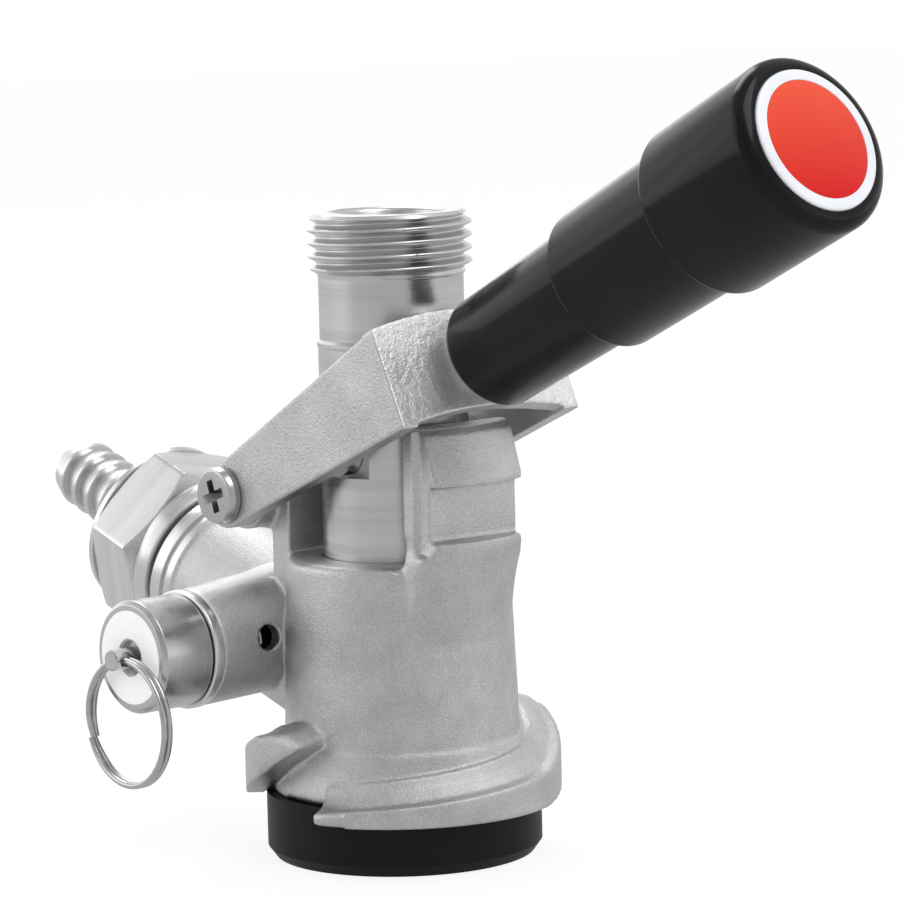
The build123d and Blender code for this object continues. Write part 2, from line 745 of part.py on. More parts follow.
with BuildPart() as badge_ring:
    with BuildSketch(grip_plane):
        with BuildLine():
            Polyline((grip_end - badge_ring_depth, grip_cavity_r),
                     (grip_end - badge_ring_depth, badge_ring_r),
                     (grip_end + badge_ring_proud - 0.4, badge_ring_r),
                     (grip_end + badge_ring_proud, badge_ring_r - 0.4),
                     (grip_end + badge_ring_proud, badge_disc_r + press_gap),
                     (grip_end + badge_ring_proud - badge_disc_depth, badge_disc_r + press_gap),
                     (grip_end + badge_ring_proud - badge_disc_depth, grip_cavity_r), close=True)
        make_face()
    revolve(axis=grip_axis)

save(badge_ring.part, "badge_ring")

disc_front = grip_end + badge_ring_proud
disc_back = disc_front - badge_disc_depth
disc_rim = disc_front - 0.1
dome_height = badge_dome + disc_front - disc_rim
dome_r = (badge_disc_r ** 2 + dome_height ** 2) / (2 * dome_height)
dome_half_angle = degrees(asin(badge_disc_r / dome_r))
with BuildPart() as badge_disc:
    with BuildSketch(grip_plane):
        with BuildLine():
            Polyline((disc_rim + dome_height, 0), (disc_back, 0), (disc_back, badge_disc_r),
                     (disc_rim, badge_disc_r))
            CenterArc((disc_rim + dome_height - dome_r, 0), dome_r, 0, dome_half_angle)
        make_face()
    revolve(axis=grip_axis)

save(badge_disc.part, "badge_disc")

# ---------------------------------------------------------------- gas nut and tailpiece
hex_start = nut_start + nut_collar_length
hex_end = hex_start + nut_hex_length
nut_end = hex_end + nut_rear_length
hex_corner_r = nut_af / 2 / cos(radians(30))
flange_start = gas_spigot_end + washer_thickness

with BuildPart() as gas_nut:
    with BuildSketch(square_to(gas_origin, gas_way, hex_start)):
        RegularPolygon(nut_af / 2, 6, major_radius=False, rotation=nut_turn)
    extrude(amount=nut_hex_length)
    with BuildSketch(gas_plane):
        with BuildLine():
            Polyline((hex_start, 0), (hex_start, nut_af / 2 - nut_chamfer_rim),
                     (hex_start + nut_chamfer_fall, hex_corner_r),
                     (hex_end - nut_chamfer_rear, hex_corner_r),
                     (hex_end, nut_af / 2 - nut_chamfer_rim), (hex_end, 0), close=True)
        make_face()
    revolve(axis=gas_axis, mode=Mode.INTERSECT)
    with BuildSketch(gas_plane):
        with BuildLine():
            Polyline((nut_start, 0), (nut_start, nut_collar_r - 0.5), (nut_start + 0.5, nut_collar_r),
                     (hex_end, nut_collar_r), (hex_end, nut_rear_r),
                     (nut_end - nut_rear_bevel, nut_rear_r),
                     (nut_end, nut_rear_r - nut_rear_bevel), (nut_end, 0), close=True)
        make_face()
    revolve(axis=gas_axis)
    with BuildSketch(gas_plane):
        with BuildLine():
            Polyline((nut_start - 1, 0), (nut_start - 1, gas_spigot_r + press_gap),
                     (gas_spigot_end, gas_spigot_r + press_gap),
                     (gas_spigot_end, tail_flange_r + slip_fit),
                     (nut_end - nut_wall, tail_flange_r + slip_fit),
                     (nut_end - nut_wall, barb_shank_r + slip_fit),
                     (nut_end + 1, barb_shank_r + slip_fit), (nut_end + 1, 0), close=True)
        make_face()
    revolve(axis=gas_axis, mode=Mode.SUBTRACT)

save(gas_nut.part, "gas_nut")

with BuildPart() as gas_washer:
    with BuildSketch(square_to(gas_origin, gas_way, gas_spigot_end)):
        Circle(tail_flange_r)
        Circle(gas_bore_r, mode=Mode.SUBTRACT)
    extrude(amount=washer_thickness)

save(gas_washer.part, "gas_washer")

barb_start = barb_tip - barb_count * barb_pitch
with BuildPart() as gas_tailpiece:
    with BuildSketch(gas_plane):
        with BuildLine():
            outline = [(flange_start, barb_bore_r), (flange_start, tail_flange_r),
                       (nut_end - nut_wall, tail_flange_r), (nut_end - nut_wall, barb_shank_r),
                       (barb_start, barb_shank_r)]
            for tooth in range(barb_count):
                root = barb_start + tooth * barb_pitch
                end_r = barb_tip_r if tooth == barb_count - 1 else barb_valley_r
                outline += [(root, barb_crest_r), (root + barb_land, barb_crest_r),
                            (root + barb_pitch, end_r)]
            outline += [(barb_tip, barb_bore_r)]
            Polyline(*outline, close=True)
        make_face()
    revolve(axis=gas_axis)

save(gas_tailpiece.part, "gas_tailpiece")

# ---------------------------------------------------------------- gas check valve
with BuildPart() as gas_check_valve:
    with BuildSketch(square_to(gas_origin, gas_way, gas_spigot_end - valve_seat_depth)):
        Circle(valve_seat_r)
    extrude(amount=valve_seat_depth)
    with BuildSketch(square_to(gas_origin, gas_way, gas_spigot_end - valve_seat_depth)):
        Circle(gas_bore_r - slip_fit)
    with BuildSketch(square_to(gas_origin, gas_way,
                               gas_spigot_end - valve_seat_depth - valve_bill_length)):
        Rectangle(valve_bill_width, valve_bill_thickness)
    loft()
    with BuildSketch(square_to(gas_origin, gas_way, gas_spigot_end)):
        Circle(gas_bore_r - 1.2)
    extrude(amount=-valve_seat_depth, mode=Mode.SUBTRACT)

save(gas_check_valve.part, "gas_check_valve")

# ---------------------------------------------------------------- relief valve
cap_start = relief_face + gasket_thickness
with BuildPart() as relief_gasket:
    with BuildSketch(square_to(relief_origin, relief_way, relief_face, side=(1, 0, 0))):
        Circle(gasket_r)
        Circle(relief_bore_r, mode=Mode.SUBTRACT)
    extrude(amount=gasket_thickness)

save(relief_gasket.part, "relief_gasket")

with BuildPart() as relief_cap:
    with BuildSketch(relief_plane):
        with BuildLine():
            Polyline((relief_face - relief_spigot_length, relief_cap_bore_r),
                     (relief_face - relief_spigot_length, relief_bore_r - press_gap),
                     (cap_start, relief_bore_r - press_gap), (cap_start, relief_cap_r - 0.2),
                     (cap_start + 0.2, relief_cap_r),
                     (relief_cap_end - relief_cap_chamfer, relief_cap_r),
                     (relief_cap_end, relief_cap_r - relief_cap_chamfer),
                     (relief_cap_end, label_r + press_gap),
                     (relief_cap_end - label_recess, label_r + press_gap),
                     (relief_cap_end - label_recess, relief_recess_r),
                     (relief_cap_end - relief_recess_depth, relief_recess_r),
                     (relief_cap_end - relief_recess_depth, relief_pin_r + slip_fit),
                     (relief_cap_end - relief_cap_wall, relief_pin_r + slip_fit),
                     (relief_cap_end - relief_cap_wall, relief_cap_bore_r), close=True)
        make_face()
    revolve(axis=relief_axis)

save(relief_cap.part, "relief_cap")

with BuildPart() as relief_label:
    with BuildSketch(square_to(relief_origin, relief_way, relief_cap_end - label_recess,
                               side=(1, 0, 0))):
        Circle(label_r)
        Circle(label_bore_r, mode=Mode.SUBTRACT)
    extrude(amount=label_thickness)

save(relief_label.part, "relief_label")

seal_start = relief_seat + relief_seat_lip + seat_gap
relief_head_start = seal_start + relief_seal_height
with BuildPart() as relief_seal:
    with BuildSketch(square_to(relief_origin, relief_way, seal_start, side=(1, 0, 0))):
        Circle(relief_seal_r)
    extrude(amount=relief_seal_height)

save(relief_seal.part, "relief_seal")

relief_head_end = relief_head_start + relief_head_height
with BuildPart() as relief_pin:
    with BuildSketch(relief_plane):
        with BuildLine():
            Polyline((relief_head_start, 0), (relief_head_start, relief_head_r),
                     (relief_head_end, relief_head_r), (relief_head_end, relief_pin_r),
                     (relief_pin_end - 0.2, relief_pin_r), (relief_pin_end, relief_pin_r - 0.2),
                     (relief_pin_end, 0), close=True)
        make_face()
    revolve(axis=relief_axis)
    with BuildSketch(Plane.YZ.offset(relief_x)):
        with Locations((-ring_hole_at, relief_z)):
            Circle(ring_hole_r)
    extrude(amount=2 * relief_pin_r, both=True, mode=Mode.SUBTRACT)

save(relief_pin.part, "relief_pin")

relief_spring_mean_r = relief_cap_bore_r - relief_spring_wire_r - 0.2
relief_spring_length = relief_cap_end - relief_cap_wall - relief_head_end
relief_coil_height = relief_spring_length - 2 * (relief_spring_wire_r + seat_gap)
relief_coil_start = relief_head_end + relief_spring_wire_r + seat_gap
with BuildPart() as relief_spring:
    with BuildLine():
        relief_coil = Helix(relief_coil_height / relief_spring_turns, relief_coil_height,
                            relief_spring_mean_r,
                            center=relief_origin + relief_way * relief_coil_start,
                            direction=relief_way)
    with BuildSketch(Plane(origin=relief_coil @ 0, z_dir=relief_coil % 0)):
        Circle(relief_spring_wire_r)
    sweep(path=relief_coil, is_frenet=True)

save(relief_spring.part, "relief_spring")

ring_centre_x = relief_x + ring_mean_r * sin(radians(ring_lean))
ring_centre_z = relief_z - ring_sag - ring_mean_r * cos(radians(ring_lean))
ring_axis = Axis((ring_centre_x, -ring_hole_at, ring_centre_z), (0, -1, 0))
with BuildPart() as pull_ring:
    with BuildSketch(Plane.YZ.offset(ring_centre_x)):
        with Locations((-ring_hole_at, ring_centre_z + ring_mean_r)):
            SlotOverall(ring_wire_spacing + 2 * ring_wire_r, 2 * ring_wire_r)
    revolve(axis=ring_axis)

save(pull_ring.part, "pull_ring")
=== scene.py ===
"""Dresses a keg coupler: cast body, lever with grip, beer probe, gas inlet and relief valve."""

import json
import logging
import math
from dataclasses import dataclass
from enum import Enum
from typing import Callable

import bmesh
import bpy
from mathutils import Matrix, Vector


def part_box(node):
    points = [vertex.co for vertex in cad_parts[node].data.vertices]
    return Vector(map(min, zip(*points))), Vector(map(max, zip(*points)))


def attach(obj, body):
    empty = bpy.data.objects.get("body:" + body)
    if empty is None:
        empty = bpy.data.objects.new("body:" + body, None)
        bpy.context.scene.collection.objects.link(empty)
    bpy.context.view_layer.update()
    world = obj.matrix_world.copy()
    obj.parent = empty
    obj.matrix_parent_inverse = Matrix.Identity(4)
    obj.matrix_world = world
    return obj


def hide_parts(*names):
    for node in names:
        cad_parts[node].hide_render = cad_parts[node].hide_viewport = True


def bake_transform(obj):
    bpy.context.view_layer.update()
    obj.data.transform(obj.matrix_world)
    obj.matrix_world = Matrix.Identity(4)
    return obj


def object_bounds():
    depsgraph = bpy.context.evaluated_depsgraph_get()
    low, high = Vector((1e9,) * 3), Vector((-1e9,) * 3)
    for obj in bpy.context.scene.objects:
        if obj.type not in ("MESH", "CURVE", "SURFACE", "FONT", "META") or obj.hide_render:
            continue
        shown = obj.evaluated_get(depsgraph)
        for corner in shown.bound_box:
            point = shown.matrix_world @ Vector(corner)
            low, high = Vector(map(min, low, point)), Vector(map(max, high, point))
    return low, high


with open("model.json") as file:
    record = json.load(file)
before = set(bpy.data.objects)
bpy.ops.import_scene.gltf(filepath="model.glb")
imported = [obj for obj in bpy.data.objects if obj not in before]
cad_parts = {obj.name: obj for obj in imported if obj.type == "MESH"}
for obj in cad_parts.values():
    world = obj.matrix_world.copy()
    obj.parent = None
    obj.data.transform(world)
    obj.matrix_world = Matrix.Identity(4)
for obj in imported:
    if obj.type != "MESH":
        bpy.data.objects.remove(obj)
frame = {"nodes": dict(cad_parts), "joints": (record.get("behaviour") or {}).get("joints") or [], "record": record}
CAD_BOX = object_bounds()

MM = 0.001
TAU = 2 * math.pi
TINY = 1e-6
SHARP_DEG = 32.0
LOG = logging.getLogger("keg_coupler")

Profile = list[tuple[float, float]]
Colour = tuple[float, float, float]
Radius = float | Callable[[float], float]
Item = bpy.types.Object
Material = bpy.types.Material
Tree = bpy.types.NodeTree
Node = bpy.types.Node
Socket = bpy.types.NodeSocket
Value = float | Socket
Shape = bmesh.types.BMesh
Ring = list[bmesh.types.BMVert]


# ---------------------------------------------------------------- geometry helpers
@dataclass(frozen=True)
class Line:
    """A straight axis in the coupler's frame, in millimetres."""

    origin: Vector
    way: Vector

    def matrix(self) -> Matrix:
        """Frame whose Z runs along the axis.

        Returns:
            A matrix from local metres to the coupler's frame in metres.
        """
        z = self.way.normalized()
        side = Vector((1, 0, 0)) if abs(z.y) > 0.9 else Vector((0, 1, 0))
        x = (side - z * side.dot(z)).normalized()
        y = z.cross(x)
        turn = Matrix((x, y, z)).transposed().to_4x4()
        return Matrix.Translation(self.origin * MM) @ turn


def rounded(points: Profile, radii: dict[int, float], steps: int = 4) -> Profile:
    """Rounds chosen corners of an open profile.

    Args:
        points: the profile's corners, in millimetres.
        radii: corner number to rounding radius.
        steps: segments in each rounding.

    Returns:
        The profile with those corners replaced by short arcs.
    """
    out: Profile = []
    for i, point in enumerate(points):
        if i not in radii or i in (0, len(points) - 1):
            out.append(point)
            continue
        here = Vector(point)
        back = (Vector(points[i - 1]) - here).normalized()
        ahead = (Vector(points[i + 1]) - here).normalized()
        half = math.acos(max(-1.0, min(1.0, back.dot(ahead)))) / 2
        if half > math.radians(88):
            out.append(point)
            continue
        reach = radii[i] / math.tan(half)
        centre = here + (back + ahead).normalized() * (radii[i] / math.sin(half))
        start = here + back * reach - centre
        end = here + ahead * reach - centre
        sweep = start.angle_signed(end)
        for k in range(steps + 1):
            turned = Matrix.Rotation(-sweep * k / steps, 2) @ start
            out.append(tuple(centre + turned))
    return out


def eased(share: float, softness: float = 1.0) -> float:
    """Blends a straight rise with one that starts and ends gently.

    Args:
        share: how far along the rise is, 0 to 1.
        softness: 0 for the straight rise and 1 for the gentle one.

    Returns:
        The blended rise, 0 to 1.
    """
    return share * share * (3 - 2 * share) * softness + share * (1 - softness)


def clamped(value: float) -> float:
    """Limits a value to the range from 0 to 1."""
    return min(1.0, max(0.0, value))


def add_mesh(name: str, shape: Shape, matrix: Matrix, sharp_deg: float = SHARP_DEG) -> Item:
    """Turns a bmesh into a shown object with smooth faces and sharp edges.

    Args:
        name: the object's name.
        shape: the mesh, in metres in its own frame; it is freed.
        matrix: where its frame stands.
        sharp_deg: edges that fold by more than this stay sharp.

    Returns:
        The new object.
    """
    bmesh.ops.recalc_face_normals(shape, faces=shape.faces)
    mesh = bpy.data.meshes.new(name)
    shape.to_mesh(mesh)
    shape.free()
    mesh.polygons.foreach_set("use_smooth", [True] * len(mesh.polygons))
    mesh.set_sharp_from_angle(angle=math.radians(sharp_deg))
    item = bpy.data.objects.new(name, mesh)
    item.matrix_world = matrix
    bpy.context.scene.collection.objects.link(item)
    return item


def add_ring(shape: Shape, along: float, radius: Radius, segments: int) -> Ring:
    """Adds a ring of points round the local Z axis.

    Args:
        shape: the mesh.
        along: where the ring lies on the axis, in millimetres.
        radius: in millimetres, a number or a function of the angle in radians.
        segments: points in the ring.

    Returns:
        The ring's points.
    """
    made = []
    for k in range(segments):
        turn = TAU * k / segments
        reach = (radius(turn) if callable(radius) else radius) * MM
        made.append(shape.verts.new((reach * math.cos(turn), reach * math.sin(turn), along * MM)))
    return made


def join_rings(shape: Shape, low: Ring, high: Ring) -> None:
    """Fills the band between two rings, either of which may be a single point.

    Args:
        shape: the mesh that holds both rings.
        low: the first ring.
        high: the second ring.
    """
    count = max(len(low), len(high))
    if count == 1:
        return
    for k in range(count):
        after = (k + 1) % count
        if len(low) == 1:
            shape.faces.new((low[0], high[k], high[after]))
        elif len(high) == 1:
            shape.faces.new((low[k], low[after], high[0]))
        else:
            shape.faces.new((low[k], low[after], high[after], high[k]))


def skin(shape: Shape, rings: list[Ring], closed: bool) -> None:
    """Fills the bands between rings that follow each other.

    Args:
        shape: the mesh.
        rings: the rings in order.
        closed: also joins the last ring to the first.
    """
    for low, high in zip(rings, rings[1:]):
        join_rings(shape, low, high)
    if closed:
        join_rings(shape, rings[-1], rings[0])


def lathe(name: str, profile: Profile, axis: Line, segments: int = 160, closed: bool = True,
          sharp_deg: float = SHARP_DEG) -> Item:
    """Turns a profile round an axis.

    Args:
        name: the object's name.
        profile: (distance along the axis, radius) pairs in millimetres.
        axis: the axis to turn round.
        segments: facets round the axis.
        closed: joins the profile's last point to its first.
        sharp_deg: edges that fold by more than this stay sharp.

    Returns:
        The turned object, with its local Z along the axis.
    """
    shape = bmesh.new()
    rings = [add_ring(shape, along, radius, segments if radius > TINY else 1) for along, radius in profile]
    skin(shape, rings, closed)
    return add_mesh(name, shape, axis.matrix(), sharp_deg)


def tube(name: str, path: Callable[[float], Vector], wire_mm: float, steps: int, matrix: Matrix,
         sides: int) -> Item:
    """Sweeps a round wire along a path.

    Args:
        name: the object's name.
        path: position in metres for a fraction 0 to 1 of the length.
        wire_mm: the wire's radius in millimetres.
        steps: rings along the path.
        matrix: where the path's frame stands.
        sides: facets round the wire.

    Returns:
        The wire.
    """
    shape = bmesh.new()
    rings: list[Ring] = []
    guide: Vector | None = None
    nearby = 0.2 / steps
    for i in range(steps + 1):
        t = i / steps
        ahead = path(min(t + nearby, 1.0)) - path(max(t - nearby, 0.0))
        ahead.normalize()
        if guide is None:
            guide = ahead.orthogonal().normalized()
        guide = (guide - ahead * guide.dot(ahead)).normalized()
        other = ahead.cross(guide)
        centre = path(t)
        ring = []
        for k in range(sides):
            turn = TAU * k / sides
            offset = guide * math.cos(turn) + other * math.sin(turn)
            ring.append(shape.verts.new(centre + offset * wire_mm * MM))
        rings.append(ring)
    skin(shape, rings, closed=False)
    shape.faces.new(list(reversed(rings[0])))
    shape.faces.new(rings[-1])
    return add_mesh(name, shape, matrix, sharp_deg=80)


def cad_copy(node: str, name: str) -> Item:
    """Copies a CAD node's mesh into a new object that may be reshaped.

    Args:
        node: the CAD node's name.
        name: the new object's name.

    Returns:
        The copy, in the node's place.
    """
    mesh = frame["nodes"][node].data.copy()
    mesh.name = name
    mesh.materials.clear()
    item = bpy.data.objects.new(name, mesh)
    bpy.context.scene.collection.objects.link(item)
    return item


def cut_away(item: Item, origin_mm: Vector, way: Vector) -> None:
    """Removes what lies ahead of a plane and closes the cut.

    Args:
        item: the object to cut, whose frame is the coupler's.
        origin_mm: a point on the plane, in millimetres.
        way: the plane's normal, towards what is removed.
    """
    shape = bmesh.new()
    shape.from_mesh(item.data)
    bmesh.ops.remove_doubles(shape, verts=shape.verts, dist=TINY)
    parts = shape.verts[:] + shape.edges[:] + shape.faces[:]
    made = bmesh.ops.bisect_plane(shape, geom=parts, plane_co=origin_mm * MM, plane_no=way,
                                  clear_outer=True)
    rim = [e for e in made["geom_cut"] if isinstance(e, bmesh.types.BMEdge)]
    bmesh.ops.edgeloop_fill(shape, edges=rim)
    shape.to_mesh(item.data)
    shape.free()


def apply_modifiers(item: Item) -> None:
    """Makes an object's modifiers part of its mesh.

    Args:
        item: the object.
    """
    graph = bpy.context.evaluated_depsgraph_get()
    mesh = bpy.data.meshes.new_from_object(item.evaluated_get(graph))
    old = item.data
    item.modifiers.clear()
    item.data = mesh
    bpy.data.meshes.remove(old)


def add_smoothing(item: Item, rounds: int, region: str = "") -> None:
    """Adds a modifier that smooths a surface.

    Args:
        item: the object.
        rounds: how often the surface is smoothed.
        region: the vertex group to smooth, or nothing for all of it.
    """
    smooth = item.modifiers.new("soft_edges", "SMOOTH")
    smooth.vertex_group = region
    smooth.factor = 0.5
    smooth.iterations = rounds


def soften_casting(item: Item, voxel_mm: float, rounds: int) -> None:
    """Gives a hard-edged copy the soft corners and fillets of an investment casting.

    Args:
        item: the object to soften.
        voxel_mm: the size of the cells that its surface is rebuilt with.
        rounds: how often the surface is smoothed.
    """
    remesh = item.modifiers.new("skin", "REMESH")
    remesh.mode = "VOXEL"
    remesh.voxel_size = voxel_mm * MM
    remesh.use_smooth_shade = True
    add_smoothing(item, rounds)
    apply_modifiers(item)


# ---------------------------------------------------------------- material helpers
def group(name: str, inputs: dict[str, float], outputs: tuple[str, ...]) -> tuple[Tree, Node, Node]:
    """Starts a shader node group.

    Args:
        name: the group's name.
        inputs: float sockets and their defaults.
        outputs: the names of the float output sockets.

    Returns:
        The tree, its input node and its output node.
    """
    tree = bpy.data.node_groups.new(name, "ShaderNodeTree")
    for label, value in inputs.items():
        socket = tree.interface.new_socket(label, in_out="INPUT", socket_type="NodeSocketFloat")
        socket.default_value = value
    for label in outputs:
        tree.interface.new_socket(label, in_out="OUTPUT", socket_type="NodeSocketFloat")
    return tree, tree.nodes.new("NodeGroupInput"), tree.nodes.new("NodeGroupOutput")


def math_node(tree: Tree, operation: str, first: Value, second: Value = 0.0,
              third: Value | None = None) -> Socket:
    """Adds a math node fed by sockets or numbers.

    Args:
        tree: the node tree.
        operation: the node's operation.
        first: a socket or a number.
        second: a socket or a number.
        third: a socket or a number, for operations with three inputs.

    Returns:
        The node's output socket.
    """
    node = tree.nodes.new("ShaderNodeMath")
    node.operation = operation
    for index, value in enumerate((first, second, third)):
        if value is None:
            continue
        if isinstance(value, Socket):
            tree.links.new(value, node.inputs[index])
        else:
            node.inputs[index].default_value = value
    return node.outputs[0]


def noise_node(tree: Tree, vector: Socket, scale: Value, detail: float, roughness: float = 0.55) -> Socket:
    """Adds a noise texture.

    Args:
        tree: the node tree.
        vector: where the noise is read.
        scale: cells per metre, a number or a socket.
        detail: octaves.
        roughness: how strong the finer octaves are.

    Returns:
        The noise's factor socket.
    """
    node = tree.nodes.new("ShaderNodeTexNoise")
    node.inputs["Detail"].default_value = detail
    node.inputs["Roughness"].default_value = roughness
    tree.links.new(vector, node.inputs["Vector"])
    if isinstance(scale, Socket):
        tree.links.new(scale, node.inputs["Scale"])
    else:
        node.inputs["Scale"].default_value = scale
    return node.outputs["Fac"]


def object_place(tree: Tree) -> Socket:
    """Adds a coordinate node and returns its Object socket."""
    return tree.nodes.new("ShaderNodeTexCoord").outputs["Object"]


def blasted_grain() -> Tree:
    """Node group: the even speckle that bead blasting leaves on a casting.

    Returns:
        The group's tree, with Height, Speckle and Cloud.
    """
    tree, given, out = group("blasted_grain", {"Scale": 3600.0, "Pitting": 0.5, "Cloud Scale": 160.0},
                             ("Height", "Speckle", "Cloud"))
    pit_scale, pit_rim, pit_rounding = 0.45, 0.45, 0.2
    place = object_place(tree)
    grain = noise_node(tree, place, given.outputs["Scale"], detail=2.0, roughness=0.6)
    pits = tree.nodes.new("ShaderNodeTexVoronoi")
    tree.links.new(place, pits.inputs["Vector"])
    tree.links.new(math_node(tree, "MULTIPLY", given.outputs["Scale"], pit_scale), pits.inputs["Scale"])
    bowl = math_node(tree, "SMOOTH_MIN", pits.outputs["Distance"], pit_rim, pit_rounding)
    dents = math_node(tree, "MULTIPLY", bowl, given.outputs["Pitting"])
    tree.links.new(math_node(tree, "ADD", grain, dents), out.inputs["Height"])
    tree.links.new(grain, out.inputs["Speckle"])
    tree.links.new(noise_node(tree, place, given.outputs["Cloud Scale"], detail=4.0), out.inputs["Cloud"])
    return tree


def turning_marks() -> Tree:
    """Node group: the fine rings that a lathe leaves round the local Z axis.

    Returns:
        The group's tree, with Height and Streak.
    """
    tree, given, out = group("turning_marks", {"Rings Per Metre": 6000.0, "Waver": 0.4}, ("Height", "Streak"))
    stretch_round, streaks_per_metre = 0.04, 700.0
    parts = tree.nodes.new("ShaderNodeSeparateXYZ")
    tree.links.new(object_place(tree), parts.inputs[0])
    across = tree.nodes.new("ShaderNodeCombineXYZ")
    for label in ("X", "Y"):
        tree.links.new(math_node(tree, "MULTIPLY", parts.outputs[label], stretch_round), across.inputs[label])
    tree.links.new(parts.outputs["Z"], across.inputs["Z"])
    rings = noise_node(tree, across.outputs[0], given.outputs["Rings Per Metre"], detail=2.0, roughness=0.5)
    broad = noise_node(tree, across.outputs[0], streaks_per_metre, detail=3.0, roughness=0.5)
    height = math_node(tree, "MULTIPLY_ADD", broad, given.outputs["Waver"], rings)
    tree.links.new(height, out.inputs["Height"])
    tree.links.new(broad, out.inputs["Streak"])
    return tree


def handling_marks() -> Tree:
    """Node group: faint smudges and hairline scuffs from handling.

    Returns:
        The group's tree, with Smudge and Scuff.
    """
    tree, given, out = group("handling_marks", {"Smudge Scale": 60.0, "Scuff Scale": 900.0},
                             ("Smudge", "Scuff"))
    place = object_place(tree)
    tree.links.new(noise_node(tree, place, given.outputs["Smudge Scale"], detail=5.0), out.inputs["Smudge"])
    warp = tree.nodes.new("ShaderNodeMapping")
    warp.inputs["Scale"].default_value = (1.0, 0.12, 1.0)
    warp.inputs["Rotation"].default_value = (0.4, 0.9, 0.5)
    tree.links.new(place, warp.inputs["Vector"])
    scuffs = noise_node(tree, warp.outputs[0], given.outputs["Scuff Scale"], detail=3.0, roughness=0.7)
    tree.links.new(scuffs, out.inputs["Scuff"])
    return tree


class Effects:
    """The shader node groups, each built once."""

    makers: dict[str, Callable[[], Tree]] = {
        "grain": blasted_grain, "turning": turning_marks, "handling": handling_marks}
    built: dict[str, Tree] = {}

    @classmethod
    def place(cls, tree: Tree, name: str, **values: float) -> Node:
        """Puts an effect into a material.

        Args:
            tree: the material's node tree.
            name: the effect's name.
            values: input values, with underscores for spaces.

        Returns:
            The group node.
        """
        if name not in cls.built:
            cls.built[name] = cls.makers[name]()
        node = tree.nodes.new("ShaderNodeGroup")
        node.node_tree = cls.built[name]
        for label, value in values.items():
            node.inputs[label.replace("_", " ")].default_value = value
        return node


def to_range(tree: Tree, value: Socket, low: float, high: float,
             from_low: float = 0.3, from_high: float = 0.7) -> Socket:
    """Maps a value to a new range, clamped.

    Args:
        tree: the node tree.
        value: the socket to map.
        low: result at from_low.
        high: result at from_high.
        from_low: input that gives low.
        from_high: input that gives high.

    Returns:
        The mapped socket.
    """
    node = tree.nodes.new("ShaderNodeMapRange")
    tree.links.new(value, node.inputs["Value"])
    node.inputs["From Min"].default_value = from_low
    node.inputs["From Max"].default_value = from_high
    node.inputs["To Min"].default_value = low
    node.inputs["To Max"].default_value = high
    return node.outputs["Result"]


def colour_between(tree: Tree, amount: Socket, first: Colour,
                   second: Colour) -> Socket:
    """Mixes two colours by a socket.

    Args:
        tree: the node tree.
        amount: 0 gives the first colour and 1 the second.
        first: the first colour.
        second: the second colour.

    Returns:
        The mixed colour's socket.
    """
    node = tree.nodes.new("ShaderNodeMix")
    node.data_type = "RGBA"
    tree.links.new(amount, node.inputs[0])
    node.inputs[6].default_value = (*first, 1)
    node.inputs[7].default_value = (*second, 1)
    return node.outputs[2]


def weighed(tree: Tree, first: Socket, second: Socket, share: float) -> Socket:
    """Adds two masks by weight.

    Args:
        tree: the node tree.
        first: the first mask.
        second: the second mask.
        share: the first mask's weight; the second has the rest of 1.

    Returns:
        The sum's socket.
    """
    rest = math_node(tree, "MULTIPLY", second, 1 - share)
    return math_node(tree, "MULTIPLY_ADD", first, share, rest)


def tinted(colour: Colour, factor: float, lift: float = 0.0) -> Colour:
    """A colour made lighter or darker, with no channel above 1."""
    return tuple(min(1.0, channel * factor + lift) for channel in colour)


def bump(tree: Tree, height: Socket, depth_mm: float, under: Socket | None = None) -> Socket:
    """Adds a bump node.

    Args:
        tree: the node tree.
        height: the height socket.
        depth_mm: how deep a height of 1 is, in millimetres.
        under: the normal that the bump is laid over, if there is one.

    Returns:
        The bumped normal's socket.
    """
    node = tree.nodes.new("ShaderNodeBump")
    node.inputs["Distance"].default_value = depth_mm * MM
    tree.links.new(height, node.inputs["Height"])
    if under is not None:
        tree.links.new(under, node.inputs["Normal"])
    return node.outputs["Normal"]


@dataclass(frozen=True)
class Finish:
    """A surface finish; each kind adds its own nodes."""

    name: str
    slot: str
    colour: Colour
    roughness: float

    def start(self) -> tuple[Material, Tree, Node]:
        """Makes the material with its shader.

        Returns:
            The material, its tree and its Principled BSDF.
        """
        material = bpy.data.materials.new(self.name)
        material.use_nodes = True
        tree = material.node_tree
        shader = tree.nodes["Principled BSDF"]
        shader.inputs["Base Color"].default_value = (*self.colour, 1)
        shader.inputs["Roughness"].default_value = self.roughness
        material.diffuse_color = (*self.colour, 1)
        return material, tree, shader

    def material(self) -> Material:
        """The finish's material, built once."""
        found = bpy.data.materials.get(self.name)
        return found or self.build()

    def build(self) -> Material:
        """Builds the plain finish."""
        return self.start()[0]

    def dress(self, item: Item) -> None:
        """Puts the finish on every face of a piece.

        Args:
            item: the piece.
        """
        item.data.materials.clear()
        item.data.materials.append(self.material())


